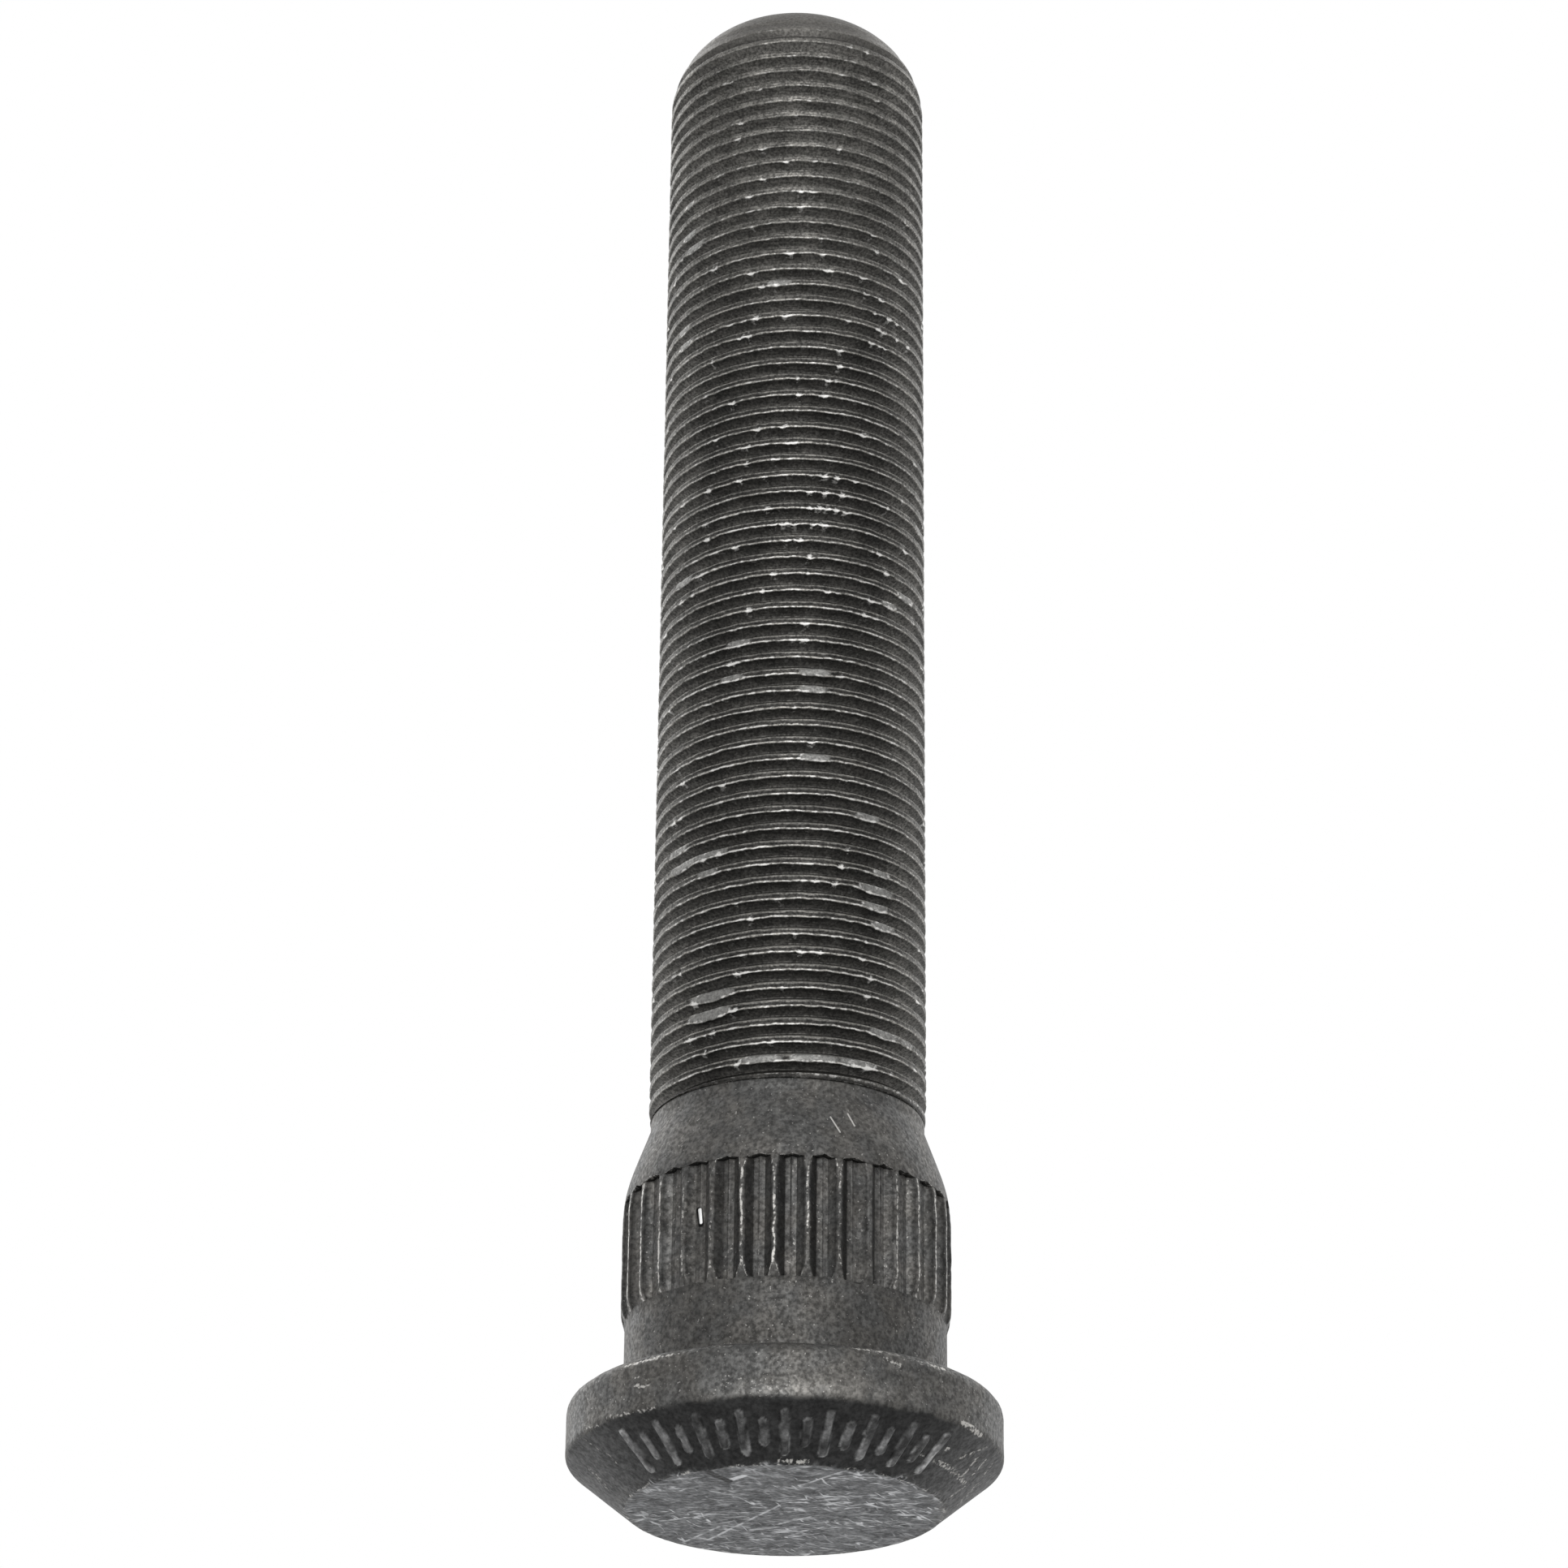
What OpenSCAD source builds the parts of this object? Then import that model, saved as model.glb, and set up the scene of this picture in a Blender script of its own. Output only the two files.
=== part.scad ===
// A press-in wheel stud, standing on its head. The axis is Z, with the head's end face at Z = 0.

/* [Head] */
// Diameter of the head across its rim
head_d = 33.4; // [31:0.1:38]
// Height of the head, from its end face to the seat that bears on the hub
head_h = 8.3; // [7:0.1:12]
// Diameter of the flat end face
end_face_d = 24.1; // [18:0.1:27]
// Height of the bevel between the end face and the rim
bevel_h = 3.8; // [2:0.1:4.5]
// Rounding between the bevel and the rim
bevel_edge_r = 0.9; // [0.3:0.1:1.5]
// Rounding between the rim and the seat
seat_edge_r = 1.2; // [0.3:0.1:2]

/* [Serrated shoulder] */
// Diameter of the plain shank under the serrations
shank_d = 24.8; // [24.4:0.1:25.3]
// Length of the plain shank, from the seat to the first end of the serrations
shank_len = 6.1; // [2:0.1:12]
// Diameter over the tips of the teeth
tooth_tip_d = 25.6; // [25.2:0.1:27]
// Length of the teeth
tooth_len = 9.8; // [6:0.1:20]
// Number of teeth
tooth_count = 32; // [20:1:44]
// Angle from the X axis to the first tooth
tooth_turn = 7; // [0:0.5:10]
// Width of the flat on the tip of each tooth
tooth_tip_w = 0.24; // [0.1:0.02:0.5]
// Angle of each tooth's flank from the radius through the tooth
tooth_flank_angle = 46; // [20:1:50]
// Depth of the grooves between the teeth, below the tips
tooth_depth = 0.66; // [0.5:0.02:0.8]
// Length over which the teeth run out at the shank
tooth_runout = 1.6; // [0.5:0.1:3]
// Height from the shank's end of the teeth to that of the grooves between them
groove_setback = 0.15; // [0.05:0.05:0.5]

/* [Cone and neck] */
// Height from the far end of the teeth to where the cone would start without its blend
cone_start = 0.3; // [0:0.1:2]
// Angle between the cone and the axis
cone_angle = 20; // [12:1:30]
// Radius of the blend from the tooth tips into the cone
cone_blend_r = 13; // [2:0.5:20]
// Diameter of the neck between the cone and the thread
neck_d = 21.45; // [20.4:0.05:21.7]
// Length of the neck
neck_len = 1.1; // [0.5:0.1:10]

/* [Thread] */
// Diameter over the thread's crests
thread_d = 21.8; // [21.5:0.1:23]
// Pitch of the thread
thread_pitch = 1.5; // [1:0.25:2]
// Width of the flat on each crest
crest_w = 0.36; // [0.2:0.02:0.5]
// Width of the flat at each root
root_w = 0.2; // [0.1:0.02:0.3]
// Angle between the two flanks of a groove
thread_angle = 60; // [50:1:70]
// Length of the thread, from the neck to the tip
thread_len = 99.7; // [40:0.1:150]

/* [Nose] */
// Radius of the rounded nose
nose_r = 7.5; // [5:0.1:10]
// Diameter of the flat at the tip
tip_d = 13.6; // [8:0.1:19]

/* [Hidden] */
$fn = 96;

// Radii
head_r = head_d / 2;
end_face_r = end_face_d / 2;
shank_r = shank_d / 2;
tooth_tip_r = tooth_tip_d / 2;
neck_r = neck_d / 2;
thread_r = thread_d / 2;
tip_r = tip_d / 2;

// Heights along the axis, from the end face up
seat_z = head_h;
teeth_low_z = seat_z + shank_len;
teeth_high_z = teeth_low_z + tooth_len;
cone_low_z = teeth_high_z + cone_start;
cone_high_z = cone_low_z + (tooth_tip_r - neck_r) / tan(cone_angle);
thread_low_z = cone_high_z + neck_len;
stud_len = thread_low_z + thread_len;

// The nose is an arc that leaves the thread's crests without a corner and ends at the flat of the tip
nose_centre_r = thread_r - nose_r;
nose_rise = sqrt(pow(nose_r, 2) - pow(tip_r - nose_centre_r, 2));
nose_low_z = stud_len - nose_rise;

// The groove's depth follows from its two flats and the angle between its flanks
groove_w = thread_pitch - crest_w;
groove_depth = (groove_w - root_w) / 2 / tan(thread_angle / 2);
root_r = thread_r - groove_depth;
first_groove_z = thread_low_z + groove_w / 2;
groove_count = floor((stud_len - first_groove_z) / thread_pitch);

// How far a cutting shape stands out of the surface it cuts
overcut = 1;

// Where the bevel meets the rim
bevel_angle = atan2(bevel_h, head_r - end_face_r);
bevel_edge_tangent = bevel_edge_r * tan((90 - bevel_angle) / 2);

// Where the tooth tips blend into the cone
blend_tangent = cone_blend_r * tan(cone_angle / 2);

// A rounded corner of the outline: the part of a disc between its centre, its two ends and the sharp corner.
// A centre beyond the axis is brought back to it.
module rounded_corner(centre, from, corner, to, radius) {
    intersection() {
        translate(centre) circle(r = radius);
        polygon([[max(centre.x, 0), centre.y], from, corner, to]);
    }
}

// The whole turned outline, from the end face up to the tip. The thread and the teeth are cut into it.
module turned_outline() {
    bevel_end = [head_r, bevel_h] - bevel_edge_tangent * [cos(bevel_angle), sin(bevel_angle)];
    rim_low = [head_r, bevel_h + bevel_edge_tangent];
    rim_high = [head_r, seat_z - seat_edge_r];
    seat_end = [head_r - seat_edge_r, seat_z];
    blend_low = [tooth_tip_r, cone_low_z - blend_tangent];
    blend_high = [tooth_tip_r, cone_low_z] + blend_tangent * [-sin(cone_angle), cos(cone_angle)];
    nose_low = [thread_r, nose_low_z];
    nose_high = [tip_r, stud_len];

    polygon([
        [0, 0],
        [end_face_r, 0],
        bevel_end,
        rim_low,
        rim_high,
        seat_end,
        [shank_r, seat_z],
        [shank_r, teeth_low_z],
        [tooth_tip_r, teeth_low_z + tooth_runout],
        blend_low,
        blend_high,
        [neck_r, cone_high_z],
        [neck_r, thread_low_z],
        [thread_r, thread_low_z],
        nose_low,
        nose_high,
        [0, stud_len]
    ]);
    rounded_corner(
        [head_r - bevel_edge_r, rim_low.y], bevel_end, [head_r, bevel_h], rim_low, bevel_edge_r
    );
    rounded_corner(
        [head_r - seat_edge_r, rim_high.y], rim_high, [head_r, seat_z], seat_end, seat_edge_r
    );
    rounded_corner(
        [tooth_tip_r - cone_blend_r, blend_low.y], blend_low, [tooth_tip_r, cone_low_z], blend_high,
        cone_blend_r
    );
    rounded_corner([nose_centre_r, nose_low_z], nose_low, [thread_r, stud_len], nose_high, nose_r);
}

// One groove of the thread, with its flats and 60 degree flanks, cut a little past the crests
module groove_profile() {
    reach = overcut * tan(thread_angle / 2);
    polygon([
        [root_r, -root_w / 2],
        [thread_r + overcut, -groove_w / 2 - reach],
        [thread_r + overcut, groove_w / 2 + reach],
        [root_r, root_w / 2]
    ]);
}

// The outline with the thread in it
module stud_profile() {
    difference() {
        turned_outline();
        for (i = [0 : groove_count - 1])
            translate([0, first_groove_z + i * thread_pitch]) groove_profile();
    }
}

// The space between two teeth, as long as the teeth
module tooth_space() {
    pitch_angle = 360 / tooth_count;
    floor_r = tooth_tip_r - tooth_depth;
    flank_run = tan(tooth_flank_angle);
    mouth_w = 2 * tooth_tip_r * sin(pitch_angle / 2) - tooth_tip_w;
    floor_w = mouth_w - 2 * tooth_depth * flank_run;
    translate([0, 0, teeth_low_z + groove_setback]) linear_extrude(tooth_len - groove_setback)
        polygon([
            [floor_r, -floor_w / 2],
            [tooth_tip_r + overcut, -mouth_w / 2 - overcut * flank_run],
            [tooth_tip_r + overcut, mouth_w / 2 + overcut * flank_run],
            [floor_r, floor_w / 2]
        ]);
}

module wheel_stud() {
    color("#4a4a4b") difference() {
        rotate_extrude() stud_profile();
        for (i = [0 : tooth_count - 1])
            rotate([0, 0, tooth_turn + (i + 0.5) * 360 / tooth_count]) tooth_space();
    }
}

wheel_stud();
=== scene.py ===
# %% [markdown]
# A wheel stud that stands on its head
#
# A wheel stud is a big bolt without a hexagon. It is pressed through the hub from behind, its serrated
# shoulder bites into the hole, and the wheel nut runs on the long fine thread. This one is a forged and
# turned bar of steel with a rolled M22 x 1.5 thread and a dark oxide skin that the workshop has rubbed.
# The lesson builds it in two meshes, because a fine thread needs many small faces: the head with its
# shoulder, and the thread with its nose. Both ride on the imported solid, which stays the part's true size.

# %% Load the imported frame
import math

import bpy
import numpy as np
from mathutils import Matrix, Vector


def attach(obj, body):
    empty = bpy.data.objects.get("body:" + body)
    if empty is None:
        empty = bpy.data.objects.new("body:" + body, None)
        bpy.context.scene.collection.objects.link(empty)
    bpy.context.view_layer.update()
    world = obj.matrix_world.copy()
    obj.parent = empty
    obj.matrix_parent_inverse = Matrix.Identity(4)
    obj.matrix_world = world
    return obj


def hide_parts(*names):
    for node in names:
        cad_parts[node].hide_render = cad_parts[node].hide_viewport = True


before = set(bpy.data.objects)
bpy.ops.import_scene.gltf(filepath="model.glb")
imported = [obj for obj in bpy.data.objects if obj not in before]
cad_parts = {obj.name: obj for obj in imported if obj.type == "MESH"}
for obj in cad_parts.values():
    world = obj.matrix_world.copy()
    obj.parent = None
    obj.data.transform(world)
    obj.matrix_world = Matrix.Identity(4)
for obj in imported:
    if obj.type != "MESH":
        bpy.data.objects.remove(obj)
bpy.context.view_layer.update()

# %% [markdown]
# The camera
#
# The stud was photographed from below and in front, from about a third of a metre away, so its head looks
# large and its far end small. The camera could be set by eye, but a long part shows every error of
# perspective. Here its place, its three turns and its lens were worked out from the outline, and they are
# written as plain sizes.

# %% Camera
MM = 0.001
PHOTO_SIDE = 1932
FOCAL_PIXELS = 5796.4
SENSOR_MM = 36.0
CAMERA_PLACE_MM = (0, -345.53, -101.20)
# The camera's turns, in radians
TURN_LEFT = 0.0016
TURN_UP = 0.43857
TURN_OVER = -0.00996

camera_data = bpy.data.cameras.new("camera")
camera_data.sensor_width = SENSOR_MM
camera_data.lens = FOCAL_PIXELS / PHOTO_SIDE * SENSOR_MM
camera_data.clip_start = 0.01
camera_data.clip_end = 50
camera = bpy.data.objects.new("camera", camera_data)
bpy.context.scene.collection.objects.link(camera)
place = Matrix.Translation([x * MM for x in CAMERA_PLACE_MM])
turn = Matrix.Rotation(TURN_LEFT, 4, "Z") @ Matrix.Rotation(TURN_UP, 4, "X")
turn = turn @ Matrix.Rotation(TURN_OVER, 4, "Y")
look_along_y = Matrix.Rotation(math.radians(90), 4, "X")
camera.matrix_world = place @ turn @ look_along_y
bpy.context.scene.camera = camera
bpy.context.scene.view_settings.view_transform = "Standard"
print("lens in mm:", round(camera_data.lens, 2))

# %% [markdown]
# The light
#
# Dark steel shows mostly what it mirrors. A large soft lamp in front puts a quiet glow on the rim and on
# the edges of the thread. Two more stand behind at the left and the right: they draw the light sides of the
# round bar, and they light the far side when the camera goes round. All are area lamps, because a small
# lamp would leave hard dots on metal. A low lamp behind fills the end face.
# The world is white for the camera and for mirrored rays, and a dim grey for soft light, so that colours
# render about as they are written.

# %% World
SOFT_WORLD = 0.34
WHITE = (1, 1, 1, 1)


def make_world(soft_strength):
    """White where the camera, a mirror or glass looks at it, and a dim grey where it only gives light."""
    world = bpy.data.worlds.new("studio")
    bpy.context.scene.world = world
    world.use_nodes = True
    nodes = world.node_tree.nodes
    links = world.node_tree.links
    nodes.clear()
    path = nodes.new("ShaderNodeLightPath")
    seen = nodes.new("ShaderNodeMath")
    seen.operation = "ADD"
    links.new(path.outputs["Is Camera Ray"], seen.inputs[0])
    links.new(path.outputs["Is Glossy Ray"], seen.inputs[1])
    seen_all = nodes.new("ShaderNodeMath")
    seen_all.operation = "ADD"
    seen_all.use_clamp = True
    links.new(seen.outputs[0], seen_all.inputs[0])
    links.new(path.outputs["Is Transmission Ray"], seen_all.inputs[1])
    soft = nodes.new("ShaderNodeBackground")
    soft.inputs["Color"].default_value = WHITE
    soft.inputs["Strength"].default_value = soft_strength
    white = nodes.new("ShaderNodeBackground")
    white.inputs["Color"].default_value = WHITE
    white.inputs["Strength"].default_value = 1
    mixed = nodes.new("ShaderNodeMixShader")
    links.new(seen_all.outputs[0], mixed.inputs["Fac"])
    links.new(soft.outputs[0], mixed.inputs[1])
    links.new(white.outputs[0], mixed.inputs[2])
    output = nodes.new("ShaderNodeOutputWorld")
    links.new(mixed.outputs[0], output.inputs["Surface"])


make_world(SOFT_WORLD)
print("strength of the world's soft light:", SOFT_WORLD)

# %% Lamps
LAMP_DISTANCE = 0.8
LAMP_TARGET_Z = 0.06
# Each lamp: name, azimuth and elevation in degrees, width and height in metres, brightness
LAMPS = [
    ("front_softbox", 0, 12, 0.7, 0.9, 2.2),
    ("left_softbox", -132, 30, 0.6, 0.9, 2.6),
    ("right_softbox", 132, 30, 0.6, 0.9, 1.6),
    ("low_fill", 180, -30, 0.7, 0.4, 1.2),
]


def add_soft_lamp(name, azimuth, elevation, width, height, radiance):
    """An area lamp that faces the middle of the stud. Azimuth 0 is in front of it."""
    data = bpy.data.lights.new(name, "AREA")
    data.shape = "RECTANGLE"
    data.size = width
    data.size_y = height
    data.energy = radiance * math.pi * width * height
    lamp = bpy.data.objects.new(name, data)
    bpy.context.scene.collection.objects.link(lamp)
    target = Matrix.Translation((0, 0, LAMP_TARGET_Z))
    spin = Matrix.Rotation(math.radians(azimuth), 4, "Z")
    tilt = Matrix.Rotation(math.radians(90 - elevation), 4, "X")
    lamp.matrix_world = target @ spin @ tilt @ Matrix.Translation((0, 0, LAMP_DISTANCE))
    lamp.visible_camera = False


for lamp_values in LAMPS:
    add_soft_lamp(*lamp_values)

# %% [markdown]
# The floor
#
# The stud stands on a pale floor, but the photograph looks at it from below that floor. A floor that is
# seen only from above solves this: its back is transparent, and it holds back no light. Further out it
# fades into the white world, so that no horizon shows.

# %% Floor
FLOOR_SIDE = 2.4
FLOOR_DROP = 0.00005
FADE_FROM = 0.3
FADE_TO = 1.1
FLOOR_COLOUR = (0.82, 0.82, 0.81, 1)
FLOOR_ROUGHNESS = 0.7


def floor_material():
    """Matt and pale from above, and clear from below and far out."""
    material = bpy.data.materials.new("pale_floor")
    material.use_nodes = True
    nodes = material.node_tree.nodes
    links = material.node_tree.links
    shader = nodes["Principled BSDF"]
    shader.inputs["Base Color"].default_value = FLOOR_COLOUR
    shader.inputs["Roughness"].default_value = FLOOR_ROUGHNESS
    side = nodes.new("ShaderNodeNewGeometry")
    clear = nodes.new("ShaderNodeBsdfTransparent")
    mixed = nodes.new("ShaderNodeMixShader")
    place = nodes.new("ShaderNodeTexCoord")
    distance = nodes.new("ShaderNodeVectorMath")
    distance.operation = "LENGTH"
    links.new(place.outputs["Object"], distance.inputs[0])
    fade = nodes.new("ShaderNodeMapRange")
    fade.interpolation_type = "SMOOTHSTEP"
    fade.inputs["From Min"].default_value = FADE_FROM
    fade.inputs["From Max"].default_value = FADE_TO
    links.new(distance.outputs["Value"], fade.inputs["Value"])
    unseen = nodes.new("ShaderNodeMath")
    unseen.operation = "MAXIMUM"
    links.new(side.outputs["Backfacing"], unseen.inputs[0])
    links.new(fade.outputs["Result"], unseen.inputs[1])
    links.new(unseen.outputs[0], mixed.inputs["Fac"])
    links.new(shader.outputs[0], mixed.inputs[1])
    links.new(clear.outputs[0], mixed.inputs[2])
    links.new(mixed.outputs[0], nodes["Material Output"].inputs["Surface"])
    return material


def make_floor():
    half = FLOOR_SIDE / 2
    mesh = bpy.data.meshes.new("floor")
    corners = [(x, y, -FLOOR_DROP) for x, y in ((-half, -half), (half, -half), (half, half), (-half, half))]
    mesh.from_pydata(corners, [], [(0, 1, 2, 3)])
    mesh.materials.append(floor_material())
    floor = bpy.data.objects.new("floor", mesh)
    bpy.context.scene.collection.objects.link(floor)
    # It takes the stud's shadow, but the stud neither gets light from it nor mirrors it
    floor.visible_diffuse = False
    floor.visible_glossy = False
    floor.visible_transmission = False
    floor.visible_shadow = False


make_floor()
print("floor side in metres:", FLOOR_SIDE)

# %% [markdown]
# Unevenness that is the same each run
#
# Forged and rolled steel is never quite even. Blender's noise textures can colour a surface, but a dent or
# a wavy edge has to be in the mesh. This helper gives a smooth random value at any place of a grid, from a
# fixed seed. Round the stud the pattern has to close on itself, which the wrap does.

# %% Noise for shapes
NOISE_SIDE = 256
# In cells, so that the end face lies in the middle of a row of cells
HEIGHT_SHIFT = 7.5


def soft_noise(u, v, seed, wrap=NOISE_SIDE):
    """Smooth noise from -1 to 1. One unit of u or v is one cell, and u repeats after wrap cells."""
    values = np.random.default_rng(seed).uniform(-1, 1, (NOISE_SIDE, NOISE_SIDE))
    u, v = np.broadcast_arrays(np.asarray(u, float), np.asarray(v, float))
    low_u = np.floor(u).astype(int)
    low_v = np.floor(v).astype(int)
    du = u - low_u
    dv = v - low_v
    du = du * du * (3 - 2 * du)
    dv = dv * dv * (3 - 2 * dv)
    a = low_u % wrap
    b = (low_u + 1) % wrap
    c = low_v % NOISE_SIDE
    d = (low_v + 1) % NOISE_SIDE
    low = values[a, c] * (1 - du) + values[b, c] * du
    high = values[a, d] * (1 - du) + values[b, d] * du
    return low * (1 - dv) + high * dv


def around(angle, height, cells, cell_mm, seed):
    """Noise on the stud's skin: cells is how many fit round it, and cell_mm is their height."""
    return soft_noise((angle / 360 % 1) * cells, height / cell_mm + HEIGHT_SHIFT, seed, cells)


def ease(x, low, high):
    """0 below low, 1 above high, and a smooth rise between them."""
    t = np.clip((x - low) / (high - low), 0, 1)
    return t * t * (3 - 2 * t)


print("noise from", soft_noise(0.5, 0.5, 1), "to", soft_noise(9.5, 3.5, 1))

# %% [markdown]
# The turned outline
#
# Everything on the stud starts from one outline, which a lathe would follow: the end face, the bevel, the
# rim, the seat, the shank, the shoulder, the cone and the neck. It is kept here as points in millimetres,
# radius first, close enough together for the small relief that comes later.

# %% Sizes of the stud, in millimetres
HEAD_R = 16.7
HEAD_H = 8.3
END_FACE_R = 12.05
BEVEL_H = 3.8
BEVEL_EDGE_R = 0.9
SEAT_EDGE_R = 1.2
SHANK_R = 12.4
SHANK_FILLET = 0.4
TEETH_LOW = 14.4
GROOVES_LOW = 14.55
TEETH_HIGH = 24.2
TOOTH_TIP_R = 12.8
TOOTH_RUNOUT = 1.6
CONE_LOW = 24.5
CONE_ANGLE = math.radians(20)
CONE_BLEND_R = 13.0
NECK_R = 10.725
NECK_HIGH = 31.1

BEVEL_ANGLE = math.atan2(BEVEL_H, HEAD_R - END_FACE_R)
BEVEL_TANGENT = BEVEL_EDGE_R * math.tan((math.pi / 2 - BEVEL_ANGLE) / 2)
BLEND_TANGENT = CONE_BLEND_R * math.tan(CONE_ANGLE / 2)
BLEND_LOW = CONE_LOW - BLEND_TANGENT
BLEND_HIGH = CONE_LOW + BLEND_TANGENT * math.cos(CONE_ANGLE)
CONE_HIGH = CONE_LOW + (TOOTH_TIP_R - NECK_R) / math.tan(CONE_ANGLE)


def straight(start, end, step):
    """Points from start to end, without the start, about a step apart."""
    count = max(1, round(math.dist(start, end) / step))
    return [tuple(np.array(start) + (np.array(end) - start) * k / count) for k in range(1, count + 1)]


def rounding(centre, radius, from_degrees, to_degrees, count):
    """Points on an arc, without its start. 0 degrees points away from the axis and 90 up."""
    angles = np.radians(np.linspace(from_degrees, to_degrees, count + 1))[1:]
    return [(centre[0] + radius * math.cos(a), centre[1] + radius * math.sin(a)) for a in angles]


def shoulder_radius(z):
    """Radius over the tips of the teeth, the cone and the neck, from the shank up."""
    z = np.asarray(z, float)
    left = 1 - np.clip((z - TEETH_LOW) / TOOTH_RUNOUT, 0, 1)
    runout = SHANK_R + (TOOTH_TIP_R - SHANK_R) * (1 - left ** 2)
    rise = np.clip(z - BLEND_LOW, 0, BLEND_HIGH - BLEND_LOW)
    blend = TOOTH_TIP_R - CONE_BLEND_R + np.sqrt(CONE_BLEND_R ** 2 - rise ** 2)
    cone = TOOTH_TIP_R - (z - CONE_LOW) * math.tan(CONE_ANGLE)
    upper = np.where(z < BLEND_HIGH, blend, np.maximum(cone, NECK_R))
    return np.minimum(runout, upper)


print("bevel angle in degrees:", round(math.degrees(BEVEL_ANGLE), 1))
print("the cone ends at", round(CONE_HIGH, 2))

# %% The head's outline
BEVEL_STEP = 0.155
RIM_STEP = 0.21
PLAIN_STEP = 0.5
FIRST_RING_R = 0.9
FACE_RINGS = 13
FACE_MARGIN = 0.25
# The worn edge of the end face: how far out from its radius, and how high
FACE_EDGE = [(-0.08, 0.01), (0.04, 0.05), (0.16, 0.14)]
BEVEL_ROUND_POINTS = 5
SEAT_ROUND_POINTS = 6
FILLET_POINTS = 3

face_line = [(r, 0.0) for r in np.linspace(FIRST_RING_R, END_FACE_R - FACE_MARGIN, FACE_RINGS)]
face_edge = [(END_FACE_R + out, up) for out, up in FACE_EDGE]
bevel_top_r = HEAD_R - BEVEL_TANGENT * math.cos(BEVEL_ANGLE)
bevel_top_z = BEVEL_H - BEVEL_TANGENT * math.sin(BEVEL_ANGLE)
bevel_line = straight(face_edge[-1], (bevel_top_r, bevel_top_z), BEVEL_STEP)
rim_low = BEVEL_H + BEVEL_TANGENT
rim_high = HEAD_H - SEAT_EDGE_R
bevel_centre = (HEAD_R - BEVEL_EDGE_R, rim_low)
seat_centre = (HEAD_R - SEAT_EDGE_R, rim_high)
fillet_centre = (SHANK_R + SHANK_FILLET, HEAD_H + SHANK_FILLET)
bevel_round = rounding(bevel_centre, BEVEL_EDGE_R, math.degrees(BEVEL_ANGLE) - 90, 0, BEVEL_ROUND_POINTS)
rim_line = straight((HEAD_R, rim_low), (HEAD_R, rim_high), RIM_STEP)
seat_round = rounding(seat_centre, SEAT_EDGE_R, 0, 90, SEAT_ROUND_POINTS)
seat_line = straight((seat_centre[0], HEAD_H), (fillet_centre[0], HEAD_H), PLAIN_STEP)
fillet = rounding(fillet_centre, SHANK_FILLET, 270, 180, FILLET_POINTS)
shank_line = straight((SHANK_R, fillet_centre[1]), (SHANK_R, TEETH_LOW), PLAIN_STEP)
head_outline = np.array(
    face_line + face_edge + bevel_line + bevel_round + rim_line
    + seat_round + seat_line + fillet + shank_line
)
print("rings up to the teeth:", len(head_outline))

# %% [markdown]
# The columns round the head and the shoulder
#
# A ring of the mesh is a circle of points. Each tooth gets 20 of them, and they aren't evenly spaced: they
# sit on the edges of the tip, on the flank, on the floor of the groove and on the fine line that the rolling
# tool leaves in the middle of it. On the head the same 640 columns are spread evenly, and along the shank
# they slide from one spacing to the other.

# %% Columns
TOOTH_COUNT = 32
TOOTH_TURN = 7.0
HALF_TOOTH = 10
COLUMNS = TOOTH_COUNT * 2 * HALF_TOOTH
PITCH_DEGREES = 360 / TOOTH_COUNT
HALF_PITCH = math.pi * TOOTH_TIP_R / TOOTH_COUNT
TIP_HALF = 0.12
TOOTH_DEPTH = 0.66
FLANK_RUN = math.tan(math.radians(46))
FLOOR_START = TIP_HALF + TOOTH_DEPTH * FLANK_RUN
# Where the columns between the middle of a tooth and the middle of a groove lie
TIP_LIP = 0.04
LEAST_FLANK = 0.1
FLANK_SHARES = (0.25, 0.5, 0.75)
FLOOR_STEPS = (0.14, 0.3)
MID_LINE_HALF = 0.06

column = np.arange(COLUMNS)
tooth = column // (2 * HALF_TOOTH)
place_in_tooth = column % (2 * HALF_TOOTH) - HALF_TOOTH
even_angle = TOOTH_TURN + (tooth + place_in_tooth / (2 * HALF_TOOTH)) * PITCH_DEGREES
tooth_middle = TOOTH_TURN + tooth * PITCH_DEGREES


def tooth_offsets(tip_radius):
    """How far each column lies from the middle of its tooth, in mm along the circle of the tips."""
    tip_edge = TIP_HALF + (TOOTH_TIP_R - tip_radius) * FLANK_RUN
    tip_edge = min(tip_edge, FLOOR_START - LEAST_FLANK)
    flank = [tip_edge + (FLOOR_START - tip_edge) * share for share in FLANK_SHARES]
    floor = [FLOOR_START + step for step in FLOOR_STEPS] + [HALF_PITCH - MID_LINE_HALF, HALF_PITCH]
    half = np.array([0, tip_edge - TIP_LIP, tip_edge] + flank + [FLOOR_START] + floor)
    return np.sign(place_in_tooth) * half[np.abs(place_in_tooth)]


def in_degrees(offset):
    """An offset along the circle of the tips, as an angle."""
    return offset / HALF_PITCH * PITCH_DEGREES / 2


print("columns:", COLUMNS)
print("the floor of a groove starts", round(FLOOR_START, 2), "mm from the tooth's middle")

# %% [markdown]
# The head
#
# The rings of the outline are spun round the axis and then pushed a little along their own normal. That
# push carries the whole character of the head: the slow waves of a forging, the worn edge of the end face,
# and a row of plain raised ticks on the bevel. Modelling the ticks as loose pieces would leave
# seams, and a height over the bevel gives them the soft foot that a forging die leaves.

# %% The head's relief
TICK_COUNT = 17
TICK_STEP_DEGREES = 6.2
TICK_HALF_WIDTH = 0.33
TICK_HEIGHT = 0.24
TICK_MIDDLE_Z = 1.9
LONG_TICK = 2.05
SHORT_TICK = 1.25
TICK_WOBBLE = 0.06


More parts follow.
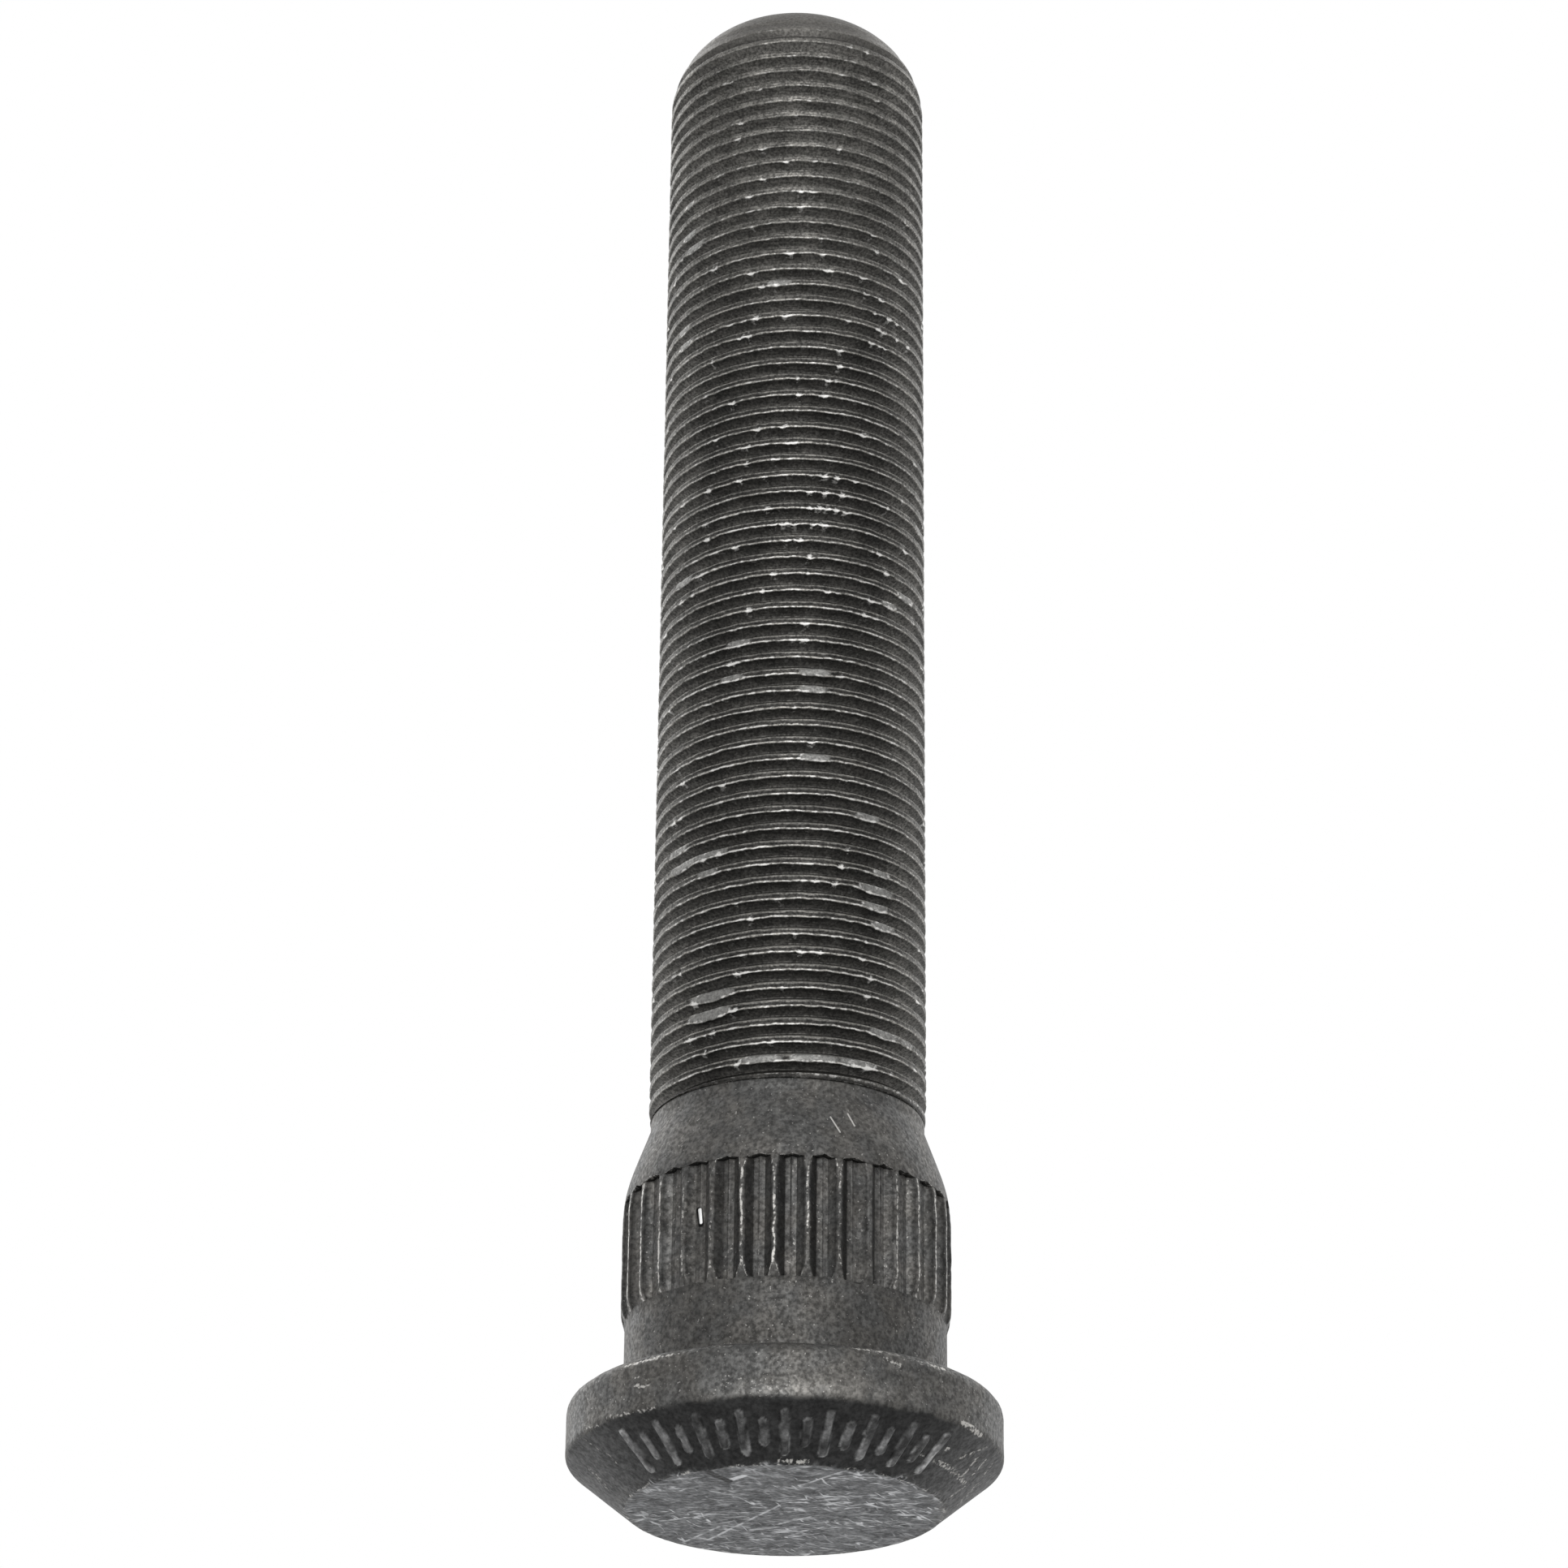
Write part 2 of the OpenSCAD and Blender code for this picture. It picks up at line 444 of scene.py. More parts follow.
def tick_relief(angle, radius, z):
    """The raised ticks on the bevel, long and short by turns, as a share of their full height."""
    along = (angle + 180) % 360 - 180
    nearest = np.clip(np.round(along / TICK_STEP_DEGREES), -(TICK_COUNT // 2), TICK_COUNT // 2)
    side = np.radians(along - nearest * TICK_STEP_DEGREES) * radius
    half_length = np.where(nearest % 2 == 0, LONG_TICK, SHORT_TICK)
    up_slope = (z - TICK_MIDDLE_Z) / math.sin(BEVEL_ANGLE)
    wobble = TICK_WOBBLE * around(angle, z, 180, 0.4, 11)
    from_line = np.hypot(side, np.maximum(np.abs(up_slope) - half_length + TICK_HALF_WIDTH, 0))
    edge = 1 - ease(from_line + wobble, TICK_HALF_WIDTH * 0.6, TICK_HALF_WIDTH * 1.3)
    worn = 0.75 + 0.25 * around(angle, z, 60, 0.8, 12)
    return edge * worn


def outline_normals(outline):
    """The outward normal of each point of an outline that runs from the axis out and then up."""
    along = np.gradient(outline, axis=0)
    along /= np.linalg.norm(along, axis=1)[:, None]
    return np.column_stack([along[:, 1], -along[:, 0]])


print("ticks:", TICK_COUNT, "over", round((TICK_COUNT - 1) * TICK_STEP_DEGREES), "degrees")

# %% Rings of the head
normals = outline_normals(head_outline)
slide = ease(head_outline[:, 1], HEAD_H + 0.5, TEETH_LOW - 0.8)
first_tooth_angle = tooth_middle + in_degrees(tooth_offsets(SHANK_R))
head_angle = even_angle + slide[:, None] * (first_tooth_angle - even_angle)
base_r = np.repeat(head_outline[:, :1], COLUMNS, axis=1)
base_z = np.repeat(head_outline[:, 1:], COLUMNS, axis=1)

on_face = 1 - ease(base_z, 0.005, 0.05)
on_bevel = ease(base_z, 0.1, 0.35) * (1 - ease(base_z, BEVEL_H - 0.6, BEVEL_H + 0.2))
on_rim = ease(base_z, BEVEL_H - 0.2, BEVEL_H + 0.8) * ease(base_r, SHANK_R + 0.2, SHANK_R + 1.2)
print("head rings:", base_r.shape[0])

# %% Relief of the head
# How far the middle of the waves lies under the true size of the rim and of the end face
RIM_LOSS = 0.035
FACE_LOSS = 0.045
# In cells, from the noise's first cell to the axis
FACE_SHIFT = 40
RAGGED_WIDTH = 0.35

side_x = base_r * np.sin(np.radians(head_angle))
side_y = -base_r * np.cos(np.radians(head_angle))
forged = 0.030 * around(head_angle, base_z, 40, 2.4, 21)
forged = forged + 0.012 * around(head_angle, base_z, 150, 0.7, 22)
face_waves = 0.030 * soft_noise(side_x / 1.6 + FACE_SHIFT, side_y / 0.7 + FACE_SHIFT, 23)
face_waves += 0.015 * soft_noise(side_x / 0.7 + FACE_SHIFT, side_y / 0.3 + FACE_SHIFT, 24)
ticks = tick_relief(head_angle, base_r, base_z) * on_bevel
push = TICK_HEIGHT * ticks
push += (forged - RIM_LOSS) * np.maximum(on_rim, on_bevel * 0.4)
push += (face_waves - FACE_LOSS) * on_face

# The edge of the end face is worn unevenly, most of all in front
ragged = 0.20 * around(head_angle, 0, 90, 1, 25) + 0.14 * around(head_angle, 0, 240, 1, 26)
ragged = ragged * (1 - 0.8 * ease(np.abs((head_angle + 180) % 360 - 180), 70, 110))
near_edge = np.exp(-((base_r - END_FACE_R) / RAGGED_WIDTH) ** 2) * (base_z < 0.6)
head_r = base_r + push * normals[:, :1] + ragged * near_edge
head_z = base_z + push * normals[:, 1:]
head_r = np.minimum(head_r, HEAD_R)
head_z = np.maximum(head_z, 0)
print("largest radius of the head:", round(float(head_r.max()), 3))

# %% [markdown]
# The serrated shoulder
#
# The teeth are what holds the stud in its hub. Real ones are rolled in, so each has a sharp light crest,
# sloping flanks and a flat floor, ends in a step at both ends of the groove and runs out at the shank, where
# its tip widens into a fork. A boolean could cut 32 grooves, but its edges would be too clean. Moving the
# points of the rings gives the same form with a little wander in each crest.

# %% Rings of the teeth
TOOTH_STEP = 0.36
WALL = 0.05
MID_LINE_HEIGHT = 0.05
FLOOR_WAVE = 0.03
CREST_DIP = 0.03
# One place in the noise for each tooth, a little past the border of its cell
tooth_cell = tooth * PITCH_DEGREES + 0.5


def tooth_ring(z, depth_share, end_wave=0.0):
    """One ring of the shoulder at height z. depth_share is 0 where no groove is cut and 1 in the grooves."""
    tip_radius = float(shoulder_radius(z))
    offset = tooth_offsets(tip_radius)
    wander = 0.06 * around(tooth_cell, z, TOOTH_COUNT, 1.1, 31)
    wander += 0.04 * around(tooth_cell, z, TOOTH_COUNT, 0.4, 32)
    near_tip = np.clip(1 - np.abs(offset) / FLOOR_START, 0, 1)
    angle = tooth_middle + in_degrees(offset + wander * near_tip)
    radius = np.full(COLUMNS, tip_radius)
    cut = np.clip((np.abs(offset) - TIP_HALF) / FLANK_RUN, 0, TOOTH_DEPTH)
    floor_wave = FLOOR_WAVE * around(angle, z, 96, 1.6, 33)
    in_middle = np.abs(place_in_tooth) == HALF_TOOTH
    mid_line = MID_LINE_HEIGHT * in_middle * (0.6 + 0.4 * around(angle, z, 32, 3, 34))
    grooved = TOOTH_TIP_R - cut + (floor_wave + mid_line) * (cut > TOOTH_DEPTH - 0.01)
    crest_dips = CREST_DIP * (1 + around(angle, z, 32, 0.5, 35)) * (np.abs(place_in_tooth) <= 2)
    grooved = np.minimum(grooved, tip_radius) - crest_dips
    radius = radius + (grooved - radius) * depth_share
    height = np.full(COLUMNS, float(z)) + end_wave
    return angle, radius, height


middle_of_runout = TEETH_LOW + TOOTH_RUNOUT / 2
print("tip radius in the middle of the run-out:", round(float(shoulder_radius(middle_of_runout)), 2))

# %% The shoulder from the teeth to the neck
# How far from the ends of the grooves the even rings stay
LOW_END = 0.35
HIGH_END = 0.45
CONE_RINGS_Z = [24.75, 25.1, 25.5, 25.9, 26.3, 26.7, 27.2, 27.7, 28.2, 28.7, 29.2, 29.7]
NECK_RING_Z = 30.6
NECK_EDGE = 0.12
# The last ring lies a little inside the foot of the thread
LAST_RING_TUCK = 0.05

arch = 0.16 * (np.abs(place_in_tooth) / HALF_TOOTH) ** 2
end_wave_low = 0.10 * around(even_angle, 0, 96, 1, 36)
end_wave_high = 0.11 * around(even_angle, 0, 160, 1, 37) + arch - 0.1
# Rings at the two ends of the grooves: height, and whether the groove is cut there
low_end = [(GROOVES_LOW, 0), (GROOVES_LOW + WALL, 1), (GROOVES_LOW + 2 * WALL, 1)]
high_end = [(TEETH_HIGH - 2 * WALL, 1), (TEETH_HIGH - WALL, 1), (TEETH_HIGH, 0)]
high_end += [(TEETH_HIGH + WALL, 0), (TEETH_HIGH + 3 * WALL, 0)]
inner = np.arange(GROOVES_LOW + LOW_END, TEETH_HIGH - HIGH_END, TOOTH_STEP)
neck_rings_z = [CONE_HIGH - NECK_EDGE, CONE_HIGH + NECK_EDGE, NECK_RING_Z, NECK_HIGH - NECK_EDGE, NECK_HIGH]
tooth_rings = [tooth_ring(z, cut, end_wave_low) for z, cut in low_end]
tooth_rings += [tooth_ring(z, 1) for z in inner]
tooth_rings += [tooth_ring(z, cut, end_wave_high) for z, cut in high_end]
tooth_rings += [tooth_ring(z, 0) for z in CONE_RINGS_Z + neck_rings_z]
shoulder_angle, shoulder_r, shoulder_z = (np.array(part) for part in zip(*tooth_rings))
shoulder_r[-1] -= LAST_RING_TUCK
soft_skin = 0.012 * around(shoulder_angle, shoulder_z, 60, 1.5, 38)
shoulder_r += soft_skin * (shoulder_z > TEETH_HIGH + 0.3) * (shoulder_z < NECK_HIGH - 0.2)
print("shoulder rings:", len(tooth_rings))

# %% [markdown]
# Wear as numbers on the mesh
#
# Rubbed edges are lighter than the skin round them. A material can't know where the edges are, so each
# point of the mesh carries how worn it is, with painted sheen on the rim and the crests, and how much
# painted light or shade its place gets, and the material reads both.

# %% Places on the head and the shoulder
angle_all = np.vstack([head_angle, shoulder_angle])
r_all = np.vstack([head_r, shoulder_r])
z_all = np.vstack([head_z, shoulder_z])
front = (angle_all + 180) % 360 - 180
sides = ease(np.abs(front), 20, 50)


def band(value, middle, half_width):
    """1 in the middle of a band and close to 0 outside it."""
    return np.exp(-((value - middle) / half_width) ** 2)


print("points in rings:", angle_all.size)

# %% Wear of the teeth
# How much each crest is rubbed, from the seventh tooth left of the front to the seventh on the right
CREST_SHINE = [1.1, 1.1, 1.15, 0.75, 0.8, 1.15, 1.1, 0.95, 0.9, 0.45, 1.1, 0.9, 1.0, 0.9]
OTHER_CREST_SHINE = 0.8

rows_head = len(head_outline)
wall_low = rows_head + 1
wall_high = rows_head + len(low_end) + len(inner) + 1
tooth_side = np.abs(place_in_tooth)
grooved_rows = np.zeros_like(r_all)
grooved_rows[wall_low : wall_high + 1] = 1
forked = ease(TOOTH_TIP_R - shoulder_radius(z_all), 0.03, 0.12) * grooved_rows
tip_wear = 0.48 + 0.3 * sides + (0.5 - 0.3 * sides) * around(angle_all, z_all, 64, 0.7, 41)
tip_edge_wear = 0.6 + 0.6 * around(angle_all, z_all, 240, 0.5, 66)
fork_wear = (tooth_side == 2) * (1 - sides) + (tooth_side == 0) * 0.8 * sides
on_crest = np.where(forked > 0.3, fork_wear, (tooth_side == 0) + (tooth_side == 1) * tip_edge_wear)
tip_wear = tip_wear * grooved_rows * on_crest
strength = np.full(TOOTH_COUNT, OTHER_CREST_SHINE)
strength[np.arange(-len(CREST_SHINE) // 2, len(CREST_SHINE) // 2)] = CREST_SHINE
tip_wear = tip_wear * strength[tooth]
mid_wear = 0.2 * (1 + around(angle_all, z_all, 64, 2.5, 42)) * grooved_rows * (tooth_side == HALF_TOOTH)
lip_wear = np.zeros_like(r_all)
lip_noise = around(angle_all, z_all, 200, 1, 48)[wall_high + 1]
lip_wear[wall_high + 1] = (0.45 + 0.25 * lip_noise) * (tooth_side > 2)
print("rubbed points of the teeth:", int((tip_wear > 0.5).sum()))

# %% Painted sheen on the rim, and wear of the seat and of the end face's edge
on_corner = band(z_all, HEAD_H - 0.33, 0.16) * (r_all > HEAD_R - 1.7)
seat_wear = on_corner * (1 - sides) * (0.2 + 0.3 * around(angle_all, 0, 90, 1, 43))
# The bright band along the lower edge of the rim, in front, is a painted highlight
on_rim_edge = band(z_all, BEVEL_H + 0.8, 0.75) * (r_all > HEAD_R - 0.8)
patches = 0.5 + 0.5 * around(angle_all, z_all, 26, 1.6, 50)
rim_sheen = 0.24 * patches + 0.15 * around(angle_all, z_all, 110, 0.7, 44)
rim_sheen = on_rim_edge * (1 - sides) * rim_sheen
face_edge_wear = band(r_all, END_FACE_R + 0.05, 0.16) * (z_all < 0.5)
face_edge_wear = face_edge_wear * (0.3 + 0.4 * around(angle_all, 0, 160, 1, 45))
# All the rubbed places of the head, with the painted highlight on the rim
wear_and_sheen = tip_wear + mid_wear + lip_wear + seat_wear + rim_sheen + face_edge_wear
print("rubbed points in all:", int((wear_and_sheen > 0.5).sum()))

# %% [markdown]
# Scratches on the head
#
# A stud that has been thrown into a box has scratches of its own, and no noise would put them where they
# are. They could be painted on an image, but then the finish would need one. Each is a straight line here,
# between two places of the skin, and the points of the mesh near the line count as bare metal.

# %% Scratches
# Each scratch: from angle and height, to angle and height, width, how bright
SCRATCHES = [
    ((25, 7.85), (46, 7.75), 0.14, 0.85), ((18, 7.9), (25, 7.85), 0.13, 0.7),
    ((-46, 7.72), (-28, 7.78), 0.13, 0.8), ((-28, 7.78), (-19, 7.85), 0.13, 0.65),
    ((26, 7.3), (30, 7.0), 0.25, 0.6),
    ((-42, 5.85), (-36.8, 5.6), 0.16, 0.85), ((-41.3, 6.5), (-40.8, 6.5), 0.2, 0.75),
    ((-50.8, 4.1), (-43.8, 3.9), 0.2, 0.6), ((-40.3, 3.9), (-35.5, 3.9), 0.2, 0.6),
    ((-62.3, 4.0), (-56.8, 3.9), 0.2, 0.5), ((52.5, 4.0), (61.5, 3.8), 0.3, 0.7),
    ((44.3, 1.6), (54.5, 1.6), 0.14, 0.35), ((54.5, 1.6), (77.5, 1.5), 0.2, 0.62),
    ((69.3, 2.7), (71.8, 1.7), 0.17, 0.62), ((74.3, 3.0), (76.5, 2.1), 0.17, 0.62),
    ((80.3, 3.1), (84, 2.5), 0.17, 0.55), ((80.3, 1.5), (77.8, 0.3), 0.17, 0.62),
    ((60.8, 2.1), (68.8, 3.4), 0.15, 0.5), ((87.3, 2.1), (93, 1.0), 0.35, 0.45),
    ((53.7, 2.37), (54.1, 2.4), 0.22, 0.8), ((-78.8, 2.2), (-81.8, 1.3), 0.45, 0.4),
    ((-62.5, 2.3), (-62.3, 1.7), 0.16, 0.4), ((-65.8, 3.5), (-64.5, 2.8), 0.16, 0.35),
    ((-1.5, 0.3), (2.3, 0.28), 0.18, 0.75), ((4.3, 0.22), (7.8, 0.3), 0.18, 0.75),
]


def scratch(start, end, width):
    """1 on a straight scratch between two places, each an angle in degrees and a height in mm."""
    scale = math.radians(1) * TOOTH_TIP_R
    line = np.array([(end[0] - start[0]) * scale, end[1] - start[1]])
    px = (front - start[0]) * scale
    pz = z_all - start[1]
    t = np.clip((px * line[0] + pz * line[1]) / (line @ line), 0, 1)
    away = np.hypot(px - t * line[0], pz - t * line[1])
    return 1 - ease(away, width * 0.5, width)


scratch_wear = np.zeros_like(r_all)
for start, end, width, bright in SCRATCHES:
    line = scratch(start, end, width) * (z_all > 0.1)
    scratch_wear = np.maximum(scratch_wear, line * bright)
wear_and_sheen = np.maximum(np.clip(wear_and_sheen, 0, 1), scratch_wear)
print("scratches:", len(SCRATCHES))

# %% [markdown]
# Three skins on one mesh
#
# The end face has another finish than the bevel, and the bevel another than the rim; the bevel's darker
# grey is partly painted shade. Separate material slots would meet in a hard line along the edges of the
# mesh. Two more numbers on the points let one material change over softly, along an edge that wanders a
# little.

# %% Where the end face and the bevel are
ragged_edge = 0.35 * around(angle_all, 0, 60, 1, 46) + 0.2 * around(angle_all, 0, 200, 1, 49)
blur = 0.1 + 0.5 * ease(np.abs(front), 35, 75)
is_face = (1 - ease(r_all + ragged_edge, END_FACE_R - blur, END_FACE_R + blur + 0.15)) * (z_all < 1)
edge_wobble = 0.12 * around(angle_all, 0, 70, 1, 64) + 0.08 * around(angle_all, 0, 220, 1, 65)
below_edge = 1 - ease(z_all + edge_wobble, BEVEL_H - 0.14, BEVEL_H + 0.14)
is_bevel = (1 - is_face) * below_edge * (r_all > END_FACE_R - 1.2)
print("points of the bevel:", int((is_bevel > 0.5).sum()))

# %% [markdown]
# Light and dark places
#
# The depth of a groove could be measured on the mesh, but the stud shows more than depth: one flank of
# each tooth is dark and the other is pale, which is painted shade and painted light. So each column of a
# tooth has a tone of its own, and the rim, the bevel and the ticks are lifted or lowered by place with
# painted light and shade.

# %% Painted light and shade of the teeth
# Painted light and shade from the crest of a tooth to the middle of the groove: the right and the left of
# it, and any at the sides
RIGHT_SHADING = np.array([1, 1, 0.9, 0.35, 0.35, 0.4, 0.55, 0.85, 0.95, 0.9, 0.9])
LEFT_SHADING = np.array([1, 1, 0.9, 0.4, 0.85, 1.1, 1.1, 1.05, 1.0, 0.9, 0.9])
OUTER_SHADING = np.array([1.2, 1.2, 1.0, 0.4, 0.7, 1.15, 1.3, 1.3, 1.3, 1.25, 1.15])
HIGH_WALL_SHADE = 0.2
LOW_WALL_SHADE = 0.45

facing_shading = np.where(place_in_tooth > 0, RIGHT_SHADING[tooth_side], LEFT_SHADING[tooth_side])
tooth_shading = 1.12 * facing_shading * (1 - sides) + 1.15 * OUTER_SHADING[tooth_side] * sides
# The tone holds painted light and shade by place, over the plain tone of the skin
shading_and_tone = np.where(grooved_rows > 0, tooth_shading, 1.0)
# Painted shade on the walls at both ends of the grooves
shading_and_tone[wall_high, tooth_side > 2] = HIGH_WALL_SHADE
shading_and_tone[wall_low, tooth_side > 2] = LOW_WALL_SHADE
print("darkest tone:", round(float(shading_and_tone.min()), 2))

# %% Painted light and shade of the head
# Painted highlights along the edges of the ticks, brightest low on the bevel, and painted shade round their
# foot
tick_foot_shade = band(ticks, 0.1, 0.1) * (ticks > 0.005)
tick_highlight = 4.4 * np.clip(4 * ticks * (1 - ticks), 0, 1) ** 2 + 0.35 * ticks
tick_highlight = tick_highlight * (1 + 0.9 * around(head_angle, base_z, 200, 0.5, 63))
tick_highlight = tick_highlight * (1.25 - 0.5 * ease(base_z, 0.9, 2.8))
shading_and_tone[:rows_head] += tick_highlight - 0.6 * tick_foot_shade
# The rim is painted lighter, with a patchy painted highlight along its lower edge in front
on_rim_all = ease(z_all, BEVEL_H, BEVEL_H + 0.4) * (r_all > SHANK_R + 1)
rim_sheen_patches = 0.9 * patches + 0.7 * around(angle_all, z_all, 120, 0.7, 69)
shading_and_tone = shading_and_tone * (1 + (0.27 + on_rim_edge * (1 - sides) * rim_sheen_patches) * on_rim_all)
# Painted light on the sides of the bevel
shading_and_tone = shading_and_tone * (1 + 2.1 * is_bevel * ease(np.abs(front), 34, 74))
shading_and_tone = shading_and_tone * (1 + 0.15 * (z_all > TEETH_HIGH + 0.1))
# Painted shadow: the bevel has a darker stretch on each side, towards the back
side_shadow = ease(np.abs(front), 103, 110) * (1 - ease(np.abs(front), 128, 136))
shading_and_tone = shading_and_tone * (1 - 0.65 * side_shadow * is_bevel)
print("lightest tone:", round(float(shading_and_tone.max()), 2))

# %% [markdown]
# From rings to a closed mesh
#
# Rings of equal length join into a grid of quads. One point in the middle of the end face and one in the
# middle of the hidden top close it, so that the mesh has an inside and could be printed.

# %% Mesh helpers


def to_points(angle, radius, height):
    """Places in metres. Angle 0 is the front of the stud, and angles grow towards +X."""
    turn_angle = np.radians(angle)
    x = radius * np.sin(turn_angle)
    y = -radius * np.cos(turn_angle)
    return np.column_stack([x.ravel(), y.ravel(), np.asarray(height, float).ravel()]) * MM


def grid_faces(rows, columns):
    """Quads between the rings of a closed tube, with their front outwards."""
    quads = []
    for row in range(rows - 1):
        low = row * columns
        high = low + columns
        for i in range(columns):
            j = (i + 1) % columns
            quads.append((low + i, low + j, high + j, high + i))
    return quads


def make_piece(name, points, faces, values, material, sharp_degrees=0):
    """A mesh object with one number per point for each name in values. Only sharper corners look sharp."""
    mesh = bpy.data.meshes.new(name)
    mesh.from_pydata(points.tolist(), [], faces)
    mesh.update()
    for key, numbers in values.items():
        attribute = mesh.attributes.new(key, "FLOAT", "POINT")
        attribute.data.foreach_set("value", np.asarray(numbers, np.float32).ravel())
    mesh.materials.append(material)
    mesh.shade_smooth()
    if sharp_degrees:
        mesh.set_sharp_from_angle(angle=math.radians(sharp_degrees))
    piece = bpy.data.objects.new(name, mesh)
    bpy.context.scene.collection.objects.link(piece)
    soften = piece.modifiers.new("area_weighted_normals", "WEIGHTED_NORMAL")
    soften.mode = "FACE_AREA"
    soften.weight = 50
    soften.keep_sharp = bool(sharp_degrees)
    triangles = sum(len(face) - 2 for face in faces)
    print(name, "has", len(points), "points and", triangles, "triangles")
    return piece


# %% [markdown]
# A small kit for materials
#
# The skin of the steel is made of layers: a colour that wanders slowly, a fine grain, and bare metal where
# the wear is. Each layer is a few nodes. These helpers name them, so that a material reads like a recipe.

# %% Material helpers
METALLIC = 0.75
GLOSS_LEVEL = 0.4
GLOSS_TINT = (0.65, 0.65, 0.65, 1)


class Recipe:
    """The nodes of one material."""

    def __init__(self, name):
        self.material = bpy.data.materials.new(name)
        self.material.use_nodes = True
        self.nodes = self.material.node_tree.nodes
        self.links = self.material.node_tree.links
        self.shader = self.nodes["Principled BSDF"]
        self.place = self.nodes.new("ShaderNodeTexCoord").outputs["Object"]

    def feed(self, socket, value):
        """Sets a socket to a value, or joins another socket to it."""
        if isinstance(value, bpy.types.NodeSocket):
            self.links.new(value, socket)
        else:
            socket.default_value = value

    def stretched(self, scale, turn_degrees=0.0, shift=0.0):
        """The place on the stud in millimetres, turned about the axis and then scaled and shifted."""
        turned = self.nodes.new("ShaderNodeMapping")
        self.links.new(self.place, turned.inputs["Vector"])
        turned.inputs["Rotation"].default_value = (0, 0, math.radians(-turn_degrees))
        mapping = self.nodes.new("ShaderNodeMapping")
        self.links.new(turned.outputs["Vector"], mapping.inputs["Vector"])
        mapping.inputs["Scale"].default_value = [s / MM for s in scale]
        mapping.inputs["Location"].default_value = (shift, shift, shift)
        return mapping.outputs["Vector"]

    def noise(self, scale, detail=2.0, roughness=0.5, turn_degrees=0.0, shift=0.0):
        texture = self.nodes.new("ShaderNodeTexNoise")
        self.links.new(self.stretched(scale, turn_degrees, shift), texture.inputs["Vector"])
        texture.inputs["Scale"].default_value = 1.0
        texture.inputs["Detail"].default_value = detail
        texture.inputs["Roughness"].default_value = roughness
        return texture.outputs["Fac"]

    def window(self, value, low, high, bottom=0.0, top=1.0):
        """Maps low to bottom and high to top, smoothly, and holds outside."""
        ramp = self.nodes.new("ShaderNodeMapRange")
        ramp.interpolation_type = "SMOOTHSTEP"
        self.feed(ramp.inputs["Value"], value)
        ramp.inputs["From Min"].default_value = low
        ramp.inputs["From Max"].default_value = high
        ramp.inputs["To Min"].default_value = bottom
        ramp.inputs["To Max"].default_value = top
        return ramp.outputs["Result"]

    def math(self, operation, a, b=0.0):
        node = self.nodes.new("ShaderNodeMath")
        node.operation = operation
        self.feed(node.inputs[0], a)
        self.feed(node.inputs[1], b)
        return node.outputs[0]

    def mix(self, share, a, b):
        """Colour a, with a share of colour b."""
        node = self.nodes.new("ShaderNodeMix")
        node.data_type = "RGBA"
        self.feed(node.inputs["Factor"], share)
        self.feed(node.inputs["A"], a if isinstance(a, bpy.types.NodeSocket) else (*a, 1))
        self.feed(node.inputs["B"], b if isinstance(b, bpy.types.NodeSocket) else (*b, 1))
        return node.outputs["Result"]

    def scale_colour(self, colour, factor):
        """A colour, of a socket or as three numbers, times a factor."""
        node = self.nodes.new("ShaderNodeVectorMath")
        node.operation = "SCALE"
        self.feed(node.inputs[0], colour)
        self.feed(node.inputs["Scale"], factor)
        return node.outputs["Vector"]

    def carried(self, name):
        """A number that the points of the mesh carry."""
        node = self.nodes.new("ShaderNodeAttribute")
        node.attribute_name = name
        return node.outputs["Fac"]

    def stroke(self, start, end, half_width, upright=False):
        """1 near a straight line in millimetres: X and Y on the end face, or X and height on the front."""
        slope = math.atan2(end[1] - start[1], end[0] - start[0])
        axis, turn_back, away = ("Y", slope, "Z") if upright else ("Z", -slope, "Y")
        to_start = Vector((-start[0], 0, -start[1]) if upright else (-start[0], -start[1], 0))
        mapping = self.nodes.new("ShaderNodeMapping")
        self.links.new(self.place, mapping.inputs["Vector"])
        mapping.inputs["Scale"].default_value = [1 / MM] * 3
        mapping.inputs["Rotation"].default_value["XYZ".index(axis)] = turn_back
        mapping.inputs["Location"].default_value = Matrix.Rotation(turn_back, 3, axis) @ to_start
        parts = self.nodes.new("ShaderNodeSeparateXYZ")
        self.links.new(mapping.outputs["Vector"], parts.inputs[0])
        held = self.math("MINIMUM", self.math("MAXIMUM", parts.outputs["X"], 0.0), math.dist(start, end))
        past = self.math("SUBTRACT", parts.outputs["X"], held)
        past_squared = self.math("POWER", past, 2.0)
        away_squared = self.math("POWER", parts.outputs[away], 2.0)
        distance = self.math("SQRT", self.math("ADD", past_squared, away_squared))
        near = self.window(distance, half_width * 0.6, half_width * 1.2, 1.0, 0.0)
        if upright:
            near = self.math("MULTIPLY", near, self.math("LESS_THAN", parts.outputs["Y"], 0.0))
        return near

    def bump(self, height, distance_mm, strength=1.0, below=None):
        node = self.nodes.new("ShaderNodeBump")
        node.inputs["Distance"].default_value = distance_mm * MM
        node.inputs["Strength"].default_value = strength
        self.feed(node.inputs["Height"], height)
        if below is not None:
            self.links.new(below, node.inputs["Normal"])
        return node.outputs["Normal"]

    def finish(self, colour, roughness, normal):
        """Joins the layers to the shader, whose gloss is dull."""
        self.feed(self.shader.inputs["Base Color"], colour)
        self.feed(self.shader.inputs["Roughness"], roughness)
        self.links.new(normal, self.shader.inputs["Normal"])
        self.shader.inputs["Metallic"].default_value = METALLIC
        self.shader.inputs["Specular IOR Level"].default_value = GLOSS_LEVEL
        self.shader.inputs["Specular Tint"].default_value = GLOSS_TINT
        return self.material


print("material helpers ready")

